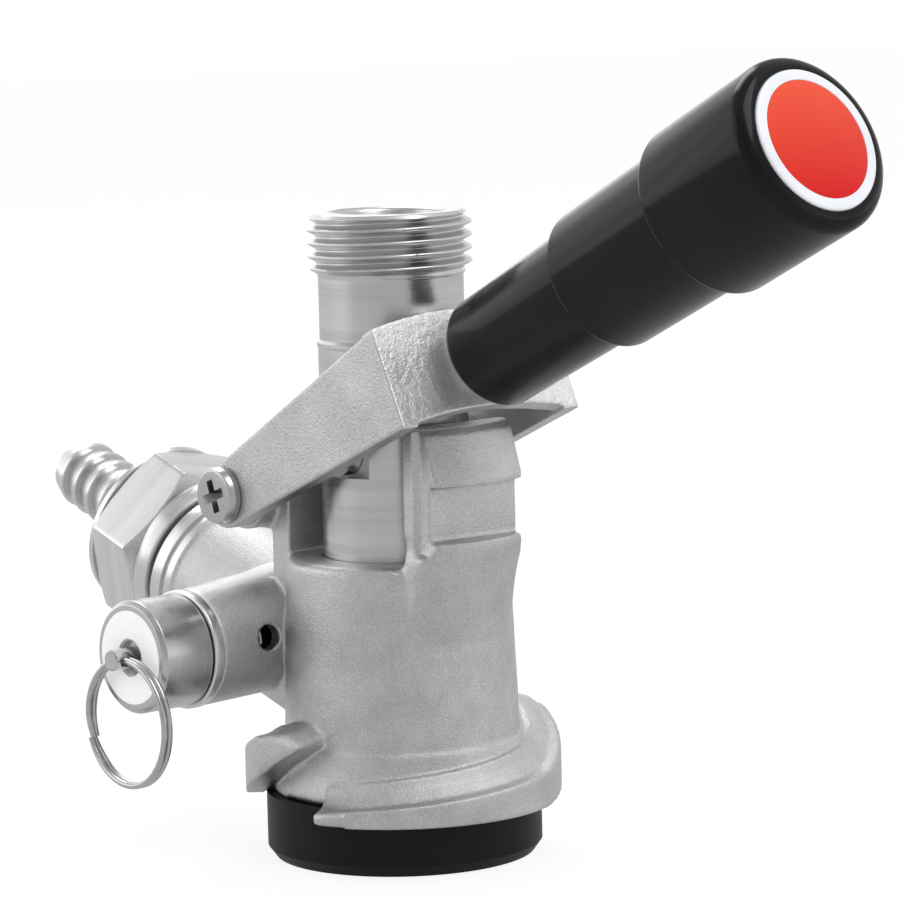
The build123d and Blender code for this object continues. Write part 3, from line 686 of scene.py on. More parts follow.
@dataclass(frozen=True)
class CastSteel(Finish):
    """Bead-blasted investment casting."""

    grain_scale: float = 4400.0
    grain_depth: float = 0.085
    lumps: float = 0.0
    lump_scale: float = 900.0
    shade: float = 0.28
    speckle_share: float = 0.6
    smoother: float = 0.05
    rougher: float = 0.07

    def build(self) -> Material:
        """Builds the blasted skin with speckle, clouding and, where asked, wrinkles.

        Returns:
            The material.
        """
        material, tree, shader = self.start()
        shader.inputs["Metallic"].default_value = 1.0
        grain = Effects.place(tree, "grain", Scale=self.grain_scale)
        normal = bump(tree, grain.outputs["Height"], self.grain_depth)
        if self.lumps:
            folds = noise_node(tree, object_place(tree), self.lump_scale, detail=2.0, roughness=0.45)
            normal = bump(tree, folds, self.lumps, normal)
        tree.links.new(normal, shader.inputs["Normal"])
        dark, light = tinted(self.colour, 1 - self.shade), tinted(self.colour, 1 + self.shade)
        cloud = grain.outputs["Cloud"]
        speckle = weighed(tree, grain.outputs["Speckle"], cloud, self.speckle_share)
        tone = colour_between(tree, to_range(tree, speckle, 0, 1), dark, light)
        tree.links.new(tone, shader.inputs["Base Color"])
        rough = to_range(tree, cloud, self.roughness - self.smoother, self.roughness + self.rougher)
        tree.links.new(rough, shader.inputs["Roughness"])
        return material


@dataclass(frozen=True)
class MachinedSteel(Finish):
    """Turned stainless steel with fine rings round the piece's own axis."""

    rings: float = 6000.0
    depth: float = 0.006
    spread: float = 0.08
    streak_share: float = 0.6
    darkest: float = 0.9
    lightest: float = 1.06

    def build(self) -> Material:
        """Builds the turned surface.

        Returns:
            The material.
        """
        material, tree, shader = self.start()
        shader.inputs["Metallic"].default_value = 1.0
        turning = Effects.place(tree, "turning", Rings_Per_Metre=self.rings)
        handling = Effects.place(tree, "handling")
        tree.links.new(bump(tree, turning.outputs["Height"], self.depth), shader.inputs["Normal"])
        streak = turning.outputs["Streak"]
        wear = weighed(tree, streak, handling.outputs["Smudge"], self.streak_share)
        rough = to_range(tree, wear, self.roughness, self.roughness + self.spread)
        tree.links.new(rough, shader.inputs["Roughness"])
        dark, light = tinted(self.colour, self.darkest), tinted(self.colour, self.lightest)
        tone = colour_between(tree, to_range(tree, streak, 0, 1), dark, light)
        tree.links.new(tone, shader.inputs["Base Color"])
        return material


@dataclass(frozen=True)
class MouldedPlastic(Finish):
    """Moulded plastic or rubber with faint scuffs."""

    sheen_change: float = 0.06
    ripple: float = 0.004
    ripple_scale: float = 250.0
    gloss: float = 0.5
    scuff_share: float = 0.5
    lightest: float = 1.15
    lift: float = 0.004

    def build(self) -> Material:
        """Builds the moulded surface.

        Returns:
            The material.
        """
        material, tree, shader = self.start()
        shader.inputs["Specular IOR Level"].default_value = self.gloss
        handling = Effects.place(tree, "handling")
        ripple = noise_node(tree, object_place(tree), self.ripple_scale, detail=3.0, roughness=0.5)
        tree.links.new(bump(tree, ripple, self.ripple), shader.inputs["Normal"])
        smudge = handling.outputs["Smudge"]
        wear = weighed(tree, handling.outputs["Scuff"], smudge, self.scuff_share)
        rough = to_range(tree, wear, self.roughness, self.roughness + self.sheen_change)
        tree.links.new(rough, shader.inputs["Roughness"])
        light = tinted(self.colour, self.lightest, self.lift)
        tone = colour_between(tree, to_range(tree, smudge, 0, 1), self.colour, light)
        tree.links.new(tone, shader.inputs["Base Color"])
        return material


@dataclass(frozen=True)
class BadgeInlay(MouldedPlastic):
    """Domed inlay with painted light: its red turns lighter and warmer towards the top edge."""

    # Painted highlight colour at the top edge of the inlay.
    lit_top_colour: Colour = (0.80, 0.09, 0.045)
    painted_light_half_height_mm: float = 8.0

    def build(self) -> Material:
        """Builds the inlay with its painted light towards the top.

        Returns:
            The material.
        """
        material = super().build()
        tree = material.node_tree
        parts = tree.nodes.new("ShaderNodeSeparateXYZ")
        tree.links.new(object_place(tree), parts.inputs[0])
        reach = self.painted_light_half_height_mm * MM
        # Painted light: the inlay's red blends to the lighter top colour towards the top.
        rise = to_range(tree, parts.outputs["Y"], 0, 1, -reach, reach)
        mix = colour_between(tree, rise, self.colour, self.lit_top_colour)
        tree.links.new(mix, tree.nodes["Principled BSDF"].inputs["Base Color"])
        return material


class Surface(Enum):
    """The coupler's finishes."""

    CAST = CastSteel("blasted_casting", "casting", (0.57, 0.57, 0.565), 0.42)
    # Wrinkled skin for the crossbar's front; its colour, paler than CAST, is painted light on that face.
    WRINKLED_LIT = CastSteel("wrinkled_casting_painted_light", "casting", (0.80, 0.80, 0.79), 0.50, lumps=0.16)
    MACHINED = MachinedSteel("turned_steel", "machined", (0.60, 0.60, 0.60), 0.24)
    FACED = MachinedSteel("faced_steel", "machined", (0.72, 0.72, 0.72), 0.24, rings=9000.0, depth=0.008)
    BRIGHT = MachinedSteel("bright_steel", "steel_small", (0.52, 0.52, 0.52), 0.2, rings=3000.0, depth=0.001)
    GRIP = MouldedPlastic("grip_plastic", "grip_black", (0.003, 0.003, 0.0035), 0.13, gloss=0.17)
    BADGE_WHITE = MouldedPlastic("badge_ring_plastic", "badge_white", (0.74, 0.76, 0.80), 0.22, gloss=0.3)
    BADGE_RED = BadgeInlay("badge_inlay", "badge_red", (0.62, 0.010, 0.012), 0.22, gloss=0.15)
    LABEL = MouldedPlastic("label_film", "label_white", (0.88, 0.88, 0.88), 0.35)
    SEAL = MouldedPlastic("seal_rubber", "seal_black", (0.0035, 0.0035, 0.0035), 0.42, ripple=0.008,
                          gloss=0.15)
    WASHER = MouldedPlastic("nylon_washer", "washer_grey", (0.5, 0.5, 0.5), 0.4)
    BUSH = MouldedPlastic("nylon_bush", "bush_nylon", (0.8, 0.79, 0.75), 0.4)

    def dress(self, item: Item) -> None:
        """Puts this finish on a piece."""
        self.value.dress(item)


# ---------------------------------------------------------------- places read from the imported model
def joint(name: str) -> dict:
    """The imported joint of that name."""
    return next(j for j in frame["joints"] if j["name"] == name)


def mount(name: str) -> dict:
    """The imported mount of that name."""
    return next(m for m in frame["record"]["mounts"] if m["name"] == name)


def millimetres(values: list[float]) -> Vector:
    """A point of the record in millimetres."""
    return Vector(values) / MM


@dataclass(frozen=True)
class Axes:
    """The coupler's own axes."""

    grip_rise: float = 1.56

    def gas(self) -> Line:
        """Axis of the gas inlet, from where it crosses the probe's axis.

        Returns:
            The axis, pointing out to the hose.
        """
        barb = mount("gas_barb")
        way = Vector(barb["axis"]).normalized()
        point = millimetres(barb["pos_m"])
        return Line(point - way * (point.x / way.x), way)

    def relief(self) -> Line:
        """Axis of the relief valve, from level with the probe's axis."""
        pivot = millimetres(joint("ring_swing")["pos_m"])
        return Line(Vector((pivot.x, 0, pivot.z)), Vector(joint("relief_lift")["axis"]))

    def hinge(self) -> Vector:
        """Centre of the lever's hinge."""
        return millimetres(joint("lever_hinge")["pos_m"])

    def lever(self) -> Line:
        """Line from the hinge along the lever."""
        return Line(self.hinge(), Vector(joint("grip_slide")["axis"]).normalized())

    def grip(self) -> Line:
        """Axis of the grip and its plunger.

        Returns:
            The axis, pointing out to the badge.
        """
        lever = self.lever()
        across = lever.way.cross(Vector((0, 1, 0)))
        return Line(lever.origin + across * self.grip_rise, lever.way)

    def hinge_pin(self, side: int) -> Line:
        """Axis of a hinge screw, pointing out of the lever.

        Args:
            side: -1 for the relief valve's side, 1 for the other.

        Returns:
            The axis, from the hinge's centre.
        """
        return Line(self.hinge(), Vector((0, side, 0)))


AXES = Axes()


class SubAssembly:
    """Pieces that ride on one body."""

    body: str = "body"

    def put(self, item: Item, surface: Surface, *stands_for: str) -> None:
        """Dresses a new piece and ties it to its body.

        Args:
            item: the piece.
            surface: its finish.
            stands_for: the CAD nodes that it replaces.
        """
        surface.dress(item)
        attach(item, self.body)
        if stands_for:
            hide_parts(*stands_for)
        LOG.info("%s on %s: %d faces", item.name, self.body, len(item.data.polygons))

    def keep(self, surface: Surface, *nodes: str) -> None:
        """Dresses CAD nodes whose shape is right as it is.

        Args:
            surface: their finish.
            nodes: the nodes.
        """
        for node in nodes:
            materials = frame["nodes"][node].data.materials
            materials.clear()
            materials.append(surface.value.material())
            LOG.info("%s kept from the model", node)


@dataclass
class CastBody(SubAssembly):
    """Cast body with its machined collars."""

    body: str = "body"
    voxel: float = 0.26
    smoothing: int = 5
    blending: int = 50
    bore_r: float = 10.6
    bore_start: float = 34.0
    bore_reach: float = 0.6
    ear_inner_r: float = 17.3
    ear_top: float = 21.0
    ear_turn: tuple[float, float] = (76.0, 118.0)
    pad_back: float = 9.0
    pad_side: tuple[float, float] = (7.2, 10.4)
    pad_height: tuple[float, float] = (29.0, 46.5)
    gas_cut: float = 40.9
    gas_bore_r: float = 8.0
    gas_rim_r: float = 11.8
    gas_rim_start: float = 40.2
    gas_groove_start: float = 41.8
    gas_groove_end: float = 42.15
    gas_groove_r: float = 11.75
    gas_land_r: float = 12.15
    gas_land_end: float = 44.5
    gas_spigot_r: float = 9.6
    gas_spigot_end: float = 49.5
    relief_cut: float = 22.6
    relief_collar_start: float = 22.4
    relief_collar_r: float = 8.4
    relief_face: float = 24.1
    relief_bore_r: float = 6.5

    def casting(self) -> None:
        """Softens the cast body and opens its guide bore to a true cylinder."""
        item = cad_copy("body_casting", "cast_body")
        gas, relief = AXES.gas(), AXES.relief()
        cut_away(item, gas.origin + gas.way * self.gas_cut, gas.way)
        cut_away(item, relief.origin + relief.way * self.relief_cut, relief.way)
        soften_casting(item, self.voxel, self.smoothing)
        self.blend_edges(item)
        for vert in item.data.vertices:
            across = math.hypot(vert.co.x, vert.co.y) / MM
            if vert.co.z > self.bore_start * MM and abs(across - self.bore_r) < self.bore_reach:
                scale = self.bore_r / across
                vert.co.x *= scale
                vert.co.y *= scale
        self.put(item, Surface.CAST, "body_casting")

    def is_blended(self, place: Vector) -> bool:
        """Whether a point lies where the casting's edges are rounder.

        Args:
            place: the point in millimetres.

        Returns:
            True round the ends of the lugs and at the foot of the latch pad.
        """
        turn = math.degrees(math.atan2(place.y, place.x)) % 180
        at_ear = (math.hypot(place.x, place.y) > self.ear_inner_r and place.z < self.ear_top
                  and self.ear_turn[0] < turn < self.ear_turn[1])
        at_pad = (place.x > self.pad_back and self.pad_side[0] < abs(place.y) < self.pad_side[1]
                  and self.pad_height[0] < place.z < self.pad_height[1])
        return at_ear or at_pad

    def blend_edges(self, item: Item) -> None:
        """Rounds the ends of the lugs and the foot of the latch pad further.

        Args:
            item: the softened casting.
        """
        chosen = [vert.index for vert in item.data.vertices if self.is_blended(vert.co / MM)]
        item.vertex_groups.new(name="blended").add(chosen, 1.0, "REPLACE")
        add_smoothing(item, self.blending, "blended")
        apply_modifiers(item)

    def gas_collar(self) -> None:
        """Turned land and grooved rim in front of the gas nut."""
        bore, rim, groove = self.gas_bore_r, self.gas_rim_r, self.gas_groove_r
        land, spigot = self.gas_land_r, self.gas_spigot_r
        points = [(self.gas_rim_start, bore), (self.gas_rim_start, rim), (self.gas_groove_start, rim),
                  (self.gas_groove_start, groove), (self.gas_groove_end, groove), (self.gas_groove_end, land),
                  (self.gas_land_end, land), (self.gas_land_end, spigot), (self.gas_spigot_end, spigot),
                  (self.gas_spigot_end, bore)]
        profile = rounded(points, {1: 0.25, 2: 0.15, 5: 0.12, 6: 0.3})
        self.put(lathe("gas_collar", profile, AXES.gas()), Surface.FACED)

    def relief_collar(self) -> None:
        """Turned rim of the relief boss."""
        start, face = self.relief_collar_start, self.relief_face
        bore, rim = self.relief_bore_r, self.relief_collar_r
        points = [(start, bore), (start, rim), (face, rim), (face, bore)]
        self.put(lathe("relief_collar", rounded(points, {1: 0.3, 2: 0.3}), AXES.relief()), Surface.FACED)

    def build(self) -> None:
        """Builds the casting, its collars and the pieces sealed in it."""
        self.casting()
        self.gas_collar()
        self.relief_collar()
        self.keep(Surface.SEAL, "bottom_seal", "lower_o_ring", "upper_o_ring")


@dataclass
class HingeScrews(SubAssembly):
    """Cross-recessed screws and washers that carry the lever."""

    body: str = "body"
    head_r: float = 4.1
    face_r: float = 3.75
    head_start: float = 16.05
    head_height: float = 1.8
    shank_r: float = 2.5
    shank_start: float = 5.6
    recess_half_width: float = 0.72
    recess_reach: float = 2.55
    recess_depth: float = 2.4
    recess_over: float = 0.5
    floor_reach_share: float = 0.55
    floor_width_share: float = 0.6
    cross_turn: float = 20.0
    rim_height: float = 0.9

    def screw(self, side: int, name: str) -> None:
        """Builds one screw.

        Args:
            side: -1 for the relief valve's side, 1 for the other.
            name: the CAD node that it stands for.
        """
        end = self.head_start + self.head_height
        points = [(self.shank_start, 0.0), (self.shank_start, self.shank_r), (self.head_start, self.shank_r),
                  (self.head_start, self.head_r), (self.head_start + self.rim_height, self.head_r),
                  (end, self.face_r), (end, 0.0)]
        profile = rounded(points, {3: 0.15, 4: 0.4, 5: 0.35})
        item = lathe(name + "_head", profile, AXES.hinge_pin(side), segments=96, closed=False)
        self.cut_cross(item, end)
        self.put(item, Surface.BRIGHT, name)

    def cut_cross(self, item: Item, end: float) -> None:
        """Cuts the cross recess into a screw's face.

        Args:
            item: the screw.
            end: where the face is along the screw's axis.
        """
        for turn in (self.cross_turn, self.cross_turn + 90):
            shape = bmesh.new()
            bmesh.ops.create_cube(shape, size=2.0)
            for vert in shape.verts:
                deep = vert.co.z < 0
                vert.co.x *= (self.floor_reach_share if deep else 1.0) * self.recess_reach * MM
                vert.co.y *= (self.floor_width_share if deep else 1.0) * self.recess_half_width * MM
                vert.co.z = (end - self.recess_depth if deep else end + self.recess_over) * MM
            spin = Matrix.Rotation(math.radians(turn), 3, "Z")
            bmesh.ops.rotate(shape, verts=shape.verts, cent=(0, 0, 0), matrix=spin)
            cutter = add_mesh("cross_cutter", shape, item.matrix_world)
            bpy.context.view_layer.update()
            cut = item.modifiers.new("cross", "BOOLEAN")
            cut.object = cutter
            cut.operation = "DIFFERENCE"
            cut.solver = "EXACT"
            apply_modifiers(item)
            bpy.data.objects.remove(cutter)
        item.data.set_sharp_from_angle(angle=math.radians(SHARP_DEG))

    def build(self) -> None:
        """Builds both screws and dresses the washers."""
        self.screw(-1, "hinge_screw_right")
        self.screw(1, "hinge_screw_left")
        self.keep(Surface.WASHER, "hinge_washer_left", "hinge_washer_right")


@dataclass
class BeerProbe(SubAssembly):
    """Sliding probe with its threaded outlet."""

    body: str = "probe"
    thread_start: float = 81.4
    cut: float = 80.0
    overlap: float = 0.4
    top: float = 90.3
    neck_r: float = 10.15
    bore_r: float = 7.85
    pitch: float = 1.814
    depth: float = 1.162
    bevel: float = 0.95
    bore_bevel: float = 0.5
    neck_inset: float = 0.02
    flank_rise: float = 1.28
    flank_start: float = 0.14
    flank_softness: float = 0.35
    run_out_share: float = 0.7
    rings_per_pitch: int = 18
    segments: int = 220

    def crest_r(self) -> float:
        """Radius of the thread's crests."""
        return mount("beer_outlet")["dims"]["r_mm"]

    def outside(self, z: float, turn: float) -> float:
        """Radius of the threaded end.

        Args:
            z: height in millimetres.
            turn: angle round the probe in radians.

        Returns:
            The radius in millimetres.
        """
        if z <= self.cut:
            return self.neck_r - self.neck_inset
        phase = ((z - self.top) / self.pitch - turn / TAU) % 1.0
        flank = abs(2 * phase - 1)
        ridge = eased(clamped(self.flank_rise * flank - self.flank_start), self.flank_softness)
        radius = self.crest_r() - self.depth * (1 - ridge)
        run_out = clamped((z - self.thread_start) / (self.run_out_share * self.pitch))
        radius = self.neck_r + (radius - self.neck_r) * run_out
        cone = self.crest_r() - max(0.0, z - (self.top - self.bevel))
        return min(radius, cone)

    def threaded_end(self) -> None:
        """Builds the threaded outlet, bore and all."""
        shape = bmesh.new()
        start = self.cut - self.overlap
        count = round((self.top - start) / self.pitch * self.rings_per_pitch)
        rings = []
        for j in range(count + 1):
            z = start + (self.top - start) * j / count
            rings.append(add_ring(shape, z, lambda turn, z=z: self.outside(z, turn), self.segments))
        inside = [(self.top, self.bore_r + self.bore_bevel), (self.top - self.bore_bevel, self.bore_r),
                  (start, self.bore_r)]
        rings += [add_ring(shape, z, radius, self.segments) for z, radius in inside]
        skin(shape, rings, closed=True)
        item = add_mesh("outlet_thread", shape, Matrix.Identity(4), sharp_deg=50)
        self.put(item, Surface.MACHINED)

    def barrel(self) -> None:
        """Keeps the probe below its thread."""
        item = cad_copy("probe", "probe_barrel")
        shape = bmesh.new()
        shape.from_mesh(item.data)
        parts = shape.verts[:] + shape.edges[:] + shape.faces[:]
        bmesh.ops.bisect_plane(shape, geom=parts, plane_co=(0, 0, self.cut * MM), plane_no=(0, 0, 1),
                               clear_outer=True)
        shape.to_mesh(item.data)
        shape.free()
        self.put(item, Surface.MACHINED, "probe")

    def build(self) -> None:
        """Builds the probe and dresses what it carries."""
        self.barrel()
        self.threaded_end()
        self.keep(Surface.SEAL, "probe_seal")
        self.keep(Surface.BRIGHT, "ball_retainer", "beer_check_ball")


@dataclass
class Lever(SubAssembly):
    """Cast yoke with its drive pins and the sleeve that guides the grip."""

    body: str = "lever"
    voxel: float = 0.22
    smoothing: int = 4
    bar_front: float = 41.2
    sleeve_r: float = 5.0
    sleeve_bore_r: float = 4.0
    sleeve_end: float = 64.0
    sleeve_inset: float = 0.3
    cut_ahead: float = 0.02
    wrinkle_and_light_depth: float = 0.7
    wrinkle_and_light_facing: float = 0.6

    def yoke(self) -> None:
        """Softens the cast yoke and gives the crossbar's front its wrinkled skin, in a paler colour that paints
        light onto that face.
        """
        item = cad_copy("lever_yoke", "cast_yoke")
        lever = AXES.lever()
        cut_away(item, lever.origin + lever.way * (self.bar_front + self.cut_ahead), lever.way)
        soften_casting(item, self.voxel, self.smoothing)
        self.put(item, Surface.CAST, "lever_yoke")
        # The crossbar's front faces get the wrinkled material, whose paler colour paints light onto them.
        item.data.materials.append(Surface.WRINKLED_LIT.value.material())
        for face in item.data.polygons:
            ahead = (face.center / MM - lever.origin).dot(lever.way)
            facing = face.normal.dot(lever.way)
            if ahead > self.bar_front - self.wrinkle_and_light_depth and facing > self.wrinkle_and_light_facing:
                face.material_index = 1

    def sleeve(self) -> None:
        """Guide sleeve inside the grip."""
        root = self.bar_front - self.sleeve_inset
        points = [(root, self.sleeve_bore_r), (root, self.sleeve_r), (self.sleeve_end, self.sleeve_r),
                  (self.sleeve_end, self.sleeve_bore_r)]
        item = lathe("guide_sleeve", rounded(points, {2: 0.3}), AXES.grip(), segments=96)
        self.put(item, Surface.MACHINED)

    def build(self) -> None:
        """Builds the yoke and sleeve and dresses the small pieces."""
        self.yoke()
        self.sleeve()
        self.keep(Surface.BRIGHT, "drive_pin_left", "drive_pin_right")
        self.keep(Surface.BUSH, "latch_bush")


@dataclass
class Grip(SubAssembly):
    """Stepped plastic grip with its bare end badge and the latch plunger."""

    body: str = "grip"
    start: float = 44.6
    end: float = 113.6
    base_r: float = 7.95
    base_end_r: float = 8.5
    step_1: float = 69.6
    mid_r: float = 9.9
    mid_end_r: float = 10.2
    step_2: float = 91.5
    large_r: float = 11.85
    large_end_r: float = 12.0
    shoulder: float = 1.3
    wall_start: float = 67.6
    wall: float = 3.1
    bore_r: float = 5.05
    tail_r: float = 2.02
    cavity_r: float = 6.0
    badge_depth: float = 2.2
    badge_ring_r: float = 9.6
    badge_proud: float = 0.35
    badge_gap: float = 0.03
    disc_r: float = 8.05
    disc_depth: float = 1.6
    disc_dome: float = 0.35
    disc_gap: float = 0.02
    disc_edge: float = 0.1
    dome_steps: int = 16

    def handle(self) -> None:
        """Turned outside of the grip with its blended steps."""
        seat, floor = self.end - self.badge_depth, self.wall_start + self.wall
        badge_r = self.badge_ring_r + self.badge_gap
        points = [(self.wall_start, self.bore_r), (self.start, self.bore_r), (self.start, self.base_r),
                  (self.step_1, self.base_end_r), (self.step_1 + self.shoulder, self.mid_r),
                  (self.step_2, self.mid_end_r), (self.step_2 + self.shoulder, self.large_r),
                  (self.end, self.large_end_r), (self.end, badge_r), (seat, badge_r), (seat, self.cavity_r),
                  (floor, self.cavity_r), (floor, self.tail_r), (self.wall_start, self.tail_r)]
        radii = {2: 1.5, 3: 0.5, 4: 0.7, 5: 0.5, 6: 0.7, 7: 2.1, 8: 0.2}
        item = lathe("grip_handle", rounded(points, radii, steps=8), AXES.grip(), segments=220, sharp_deg=40)
        self.put(item, Surface.GRIP, "grip")

    def badge(self) -> None:
        """Bare badge: a pale ring round a domed inlay."""
        front = self.end + self.badge_proud
        back = self.end - self.badge_depth
        seat = front - self.disc_depth
        inner_r = self.disc_r + self.disc_gap
        points = [(back, self.cavity_r), (back, self.badge_ring_r), (front, self.badge_ring_r),
                  (front, inner_r), (seat, inner_r), (seat, self.cavity_r)]
        ring = lathe("badge_rim", rounded(points, {2: 0.45, 3: 0.12}, steps=6), AXES.grip(), segments=180)
        self.put(ring, Surface.BADGE_WHITE, "badge_ring")
        rim = front - self.disc_edge
        rise = self.disc_dome + self.disc_edge
        dome_r = (self.disc_r ** 2 + rise ** 2) / (2 * rise)
        half = math.asin(self.disc_r / dome_r)
        outline = [(seat, 0.0), (seat, self.disc_r)]
        for k in range(self.dome_steps + 1):
            lean = half * (1 - k / self.dome_steps)
            outline.append((rim + rise - dome_r * (1 - math.cos(lean)), dome_r * math.sin(lean)))
        disc = lathe("badge_inlay", outline, AXES.grip(), segments=180, closed=False)
        self.put(disc, Surface.BADGE_RED, "badge_disc")

    def build(self) -> None:
        """Builds the grip and dresses the plunger."""
        self.handle()
        self.badge()
        self.keep(Surface.MACHINED, "latch_plunger")
        self.keep(Surface.BRIGHT, "plunger_nut")


@dataclass
class GasInlet(SubAssembly):
    """Hexagon nut and hose barb of the gas inlet."""

    body: str = "body"
    nut_start: float = 45.3
    collar_r: float = 12.4
    collar_length: float = 3.0
    across_flats: float = 25.0
    hex_length: float = 9.7
    chamfer_front: float = 1.2
    chamfer_rear: float = 1.1
    rear_length: float = 1.5
    rear_r: float = 12.9
    rear_bevel: float = 0.6
    chamfer_rim: float = 0.3
    collar_bevel: float = 0.4
    bevel_middle: float = 0.12
    hex_gap: float = 0.05
    hex_softness: float = 0.05
    hex_steps: int = 60
    rear_step: float = 0.04
    rear_middle: float = 0.1
    mouth_bevel: float = 0.3
    shank_gap: float = 0.05
    bore_step: float = 0.8
    nut_turn: float = 39.0
    nut_wall: float = 4.0
    spigot_r: float = 9.62
    flange_r: float = 8.45
    flange_start: float = 51.8
    shank_r: float = 4.5
    valley_r: float = 4.2
    crest_r: float = 5.2
    tip_r: float = 4.3
    bore_r: float = 2.9
    tip: float = 80.6
    barb_pitch: float = 3.3
    barb_count: int = 4
    barb_land: float = 0.5
    corner_power: int = 110
    segments: int = 360

    def nut_end(self) -> float:
        """Where the nut ends along the inlet."""
        return self.hex_end() + self.rear_length

    def hex_end(self) -> float:
        """Where the nut's flats end along the inlet."""
        return self.nut_start + self.collar_length + self.hex_length

    def hex_r(self, turn: float) -> float:
        """Radius of the hexagon with its corners broken.

        Args:
            turn: angle round the nut in radians.

        Returns:
            The radius in millimetres.
        """
        total = 0.0
        for k in range(6):
            facing = math.cos(turn - math.radians(60 * k + self.nut_turn))
            total += max(0.0, facing) ** self.corner_power
        return self.across_flats / 2 * total ** (-1 / self.corner_power)

    def nut_outside(self, s: float, turn: float) -> float:
        """Radius of the nut's outside, chamfers and all.

        Args:
            s: distance along the inlet.
            turn: angle round the nut in radians.

        Returns:
            The radius in millimetres.
        """
        first = self.nut_start + self.collar_length
        corner = self.across_flats / math.sqrt(3)
        flat = self.across_flats / 2 - self.chamfer_rim
        front = flat + (corner - flat) * (s - first) / self.chamfer_front
        rear = flat + (corner - flat) * (self.hex_end() - s) / self.chamfer_rear
        sides = (self.hex_r(turn), front, rear)
        soft, least = self.hex_softness, min(sides)
        return least - soft * math.log(sum(math.exp((least - v) / soft) for v in sides))

    def nut(self) -> None:
        """Builds the nut as rings of points."""
        shape = bmesh.new()
        start, end = self.nut_start, self.nut_end()
        first, last = start + self.collar_length, self.hex_end()
        bevel, middle, collar = self.collar_bevel, self.bevel_middle, self.collar_r
        front = [(start, collar - bevel), (start + middle, collar - middle), (start + bevel, collar),
                 (first - self.hex_gap, collar)]
        rings = [add_ring(shape, s, r, self.segments) for s, r in front]
        for j in range(self.hex_steps + 1):
            s = first + (last - first) * eased(j / self.hex_steps, 0.5)
            rings.append(add_ring(shape, s, lambda turn, s=s: self.nut_outside(s, turn), self.segments))
        rear, rear_face = self.rear_r, self.rear_r - self.rear_bevel
        shank, wall = self.shank_r + self.shank_gap, end - self.nut_wall
        back = [(last + self.rear_step, rear - 2 * self.rear_step), (last + middle, rear),
                (end - self.rear_bevel, rear), (end - self.rear_middle, rear_face + self.rear_middle / 2),
                (end, rear_face - self.rear_middle), (end, shank + self.mouth_bevel),
                (end - self.mouth_bevel, shank), (wall, shank), (wall, self.flange_r),
                (self.flange_start, self.flange_r), (self.flange_start - self.bore_step, self.spigot_r),
                (start, self.spigot_r)]
        rings += [add_ring(shape, s, r, self.segments) for s, r in back]
        skin(shape, rings, closed=True)
        item = add_mesh("gas_union_nut", shape, AXES.gas().matrix(), sharp_deg=28)
        self.put(item, Surface.FACED, "gas_nut")

    def tailpiece(self) -> None:
        """Builds the hose barb with softened crests."""
        seat = self.nut_end() - self.nut_wall
        flange = self.flange_r - self.shank_gap
        points = [(self.flange_start, self.bore_r), (self.flange_start, flange), (seat, flange),
                  (seat, self.shank_r)]
        radii = {}
        first = self.tip - self.barb_count * self.barb_pitch
        points.append((first, self.shank_r))
        for tooth in range(self.barb_count):
            root = first + tooth * self.barb_pitch
            end_r = self.tip_r if tooth == self.barb_count - 1 else self.valley_r
            radii[len(points)] = 0.2
            radii[len(points) + 1] = 0.45
            points += [(root, self.crest_r), (root + self.barb_land, self.crest_r),
                       (root + self.barb_pitch, end_r)]
        radii[len(points) - 1] = 0.35
        points.append((self.tip, self.bore_r))
        item = lathe("hose_barb", rounded(points, radii, steps=5), AXES.gas(), segments=140)
        self.put(item, Surface.FACED, "gas_tailpiece")

    def build(self) -> None:
        """Builds the nut and barb and dresses what they hold."""
        self.nut()
        self.tailpiece()
        self.keep(Surface.WASHER, "gas_washer")
        self.keep(Surface.SEAL, "gas_check_valve")


@dataclass
class ReliefCap(SubAssembly):
    """Screwed cap of the relief valve with its bare label."""

    body: str = "body"
    start: float = 24.6
    end: float = 32.7
    outer_r: float = 7.95
    lip_start: float = 24.32
    lip_bore_r: float = 7.73
    chamfer: float = 0.6
    spigot_start: float = 18.1
    spigot_r: float = 6.45
    bore_r: float = 5.35
    wall: float = 2.6
    pin_gap_r: float = 1.55
    recess_r: float = 2.4
    recess_depth: float = 0.9
    label_r: float = 6.6
    label_bore_r: float = 2.7
    label_thickness: float = 0.2
    label_recess: float = 0.1
    label_gap: float = 0.02

    def cap(self) -> None:
        """Turned cap."""
        low, floor, wall = self.end - self.label_recess, self.end - self.recess_depth, self.end - self.wall
        seat_r = self.label_r + self.label_gap
        points = [(self.spigot_start, self.bore_r), (self.spigot_start, self.spigot_r),
                  (self.start, self.spigot_r), (self.start, self.lip_bore_r),
                  (self.lip_start, self.lip_bore_r), (self.lip_start, self.outer_r),
                  (self.end - self.chamfer, self.outer_r),
                  (self.end, self.outer_r - self.chamfer), (self.end, seat_r), (low, seat_r),
                  (low, self.recess_r), (floor, self.recess_r), (floor, self.pin_gap_r),
                  (wall, self.pin_gap_r), (wall, self.bore_r)]
        profile = rounded(points, {5: 0.08, 6: 0.2, 7: 0.15, 10: 0.1})
        self.put(lathe("relief_cap_turned", profile, AXES.relief()), Surface.MACHINED, "relief_cap")

    def label(self) -> None:
        """Bare film label in the cap's shallow recess."""
        low = self.end - self.label_recess
        high = low + self.label_thickness
        points = [(low, self.label_bore_r), (low, self.label_r), (high, self.label_r),
                  (high, self.label_bore_r)]
        item = lathe("label_film_ring", rounded(points, {2: 0.06}), AXES.relief())
        self.put(item, Surface.LABEL, "relief_label")

    def build(self) -> None:
        """Builds the cap and label."""
        self.cap()
        self.label()
        self.keep(Surface.SEAL, "relief_gasket")


@dataclass
class ReliefPin(SubAssembly):
    """Pin that the ring pulls."""

    body: str = "relief_pin"

    def build(self) -> None:
        """Dresses the pin and its seal."""
        self.keep(Surface.MACHINED, "relief_pin")
        self.keep(Surface.SEAL, "relief_seal")


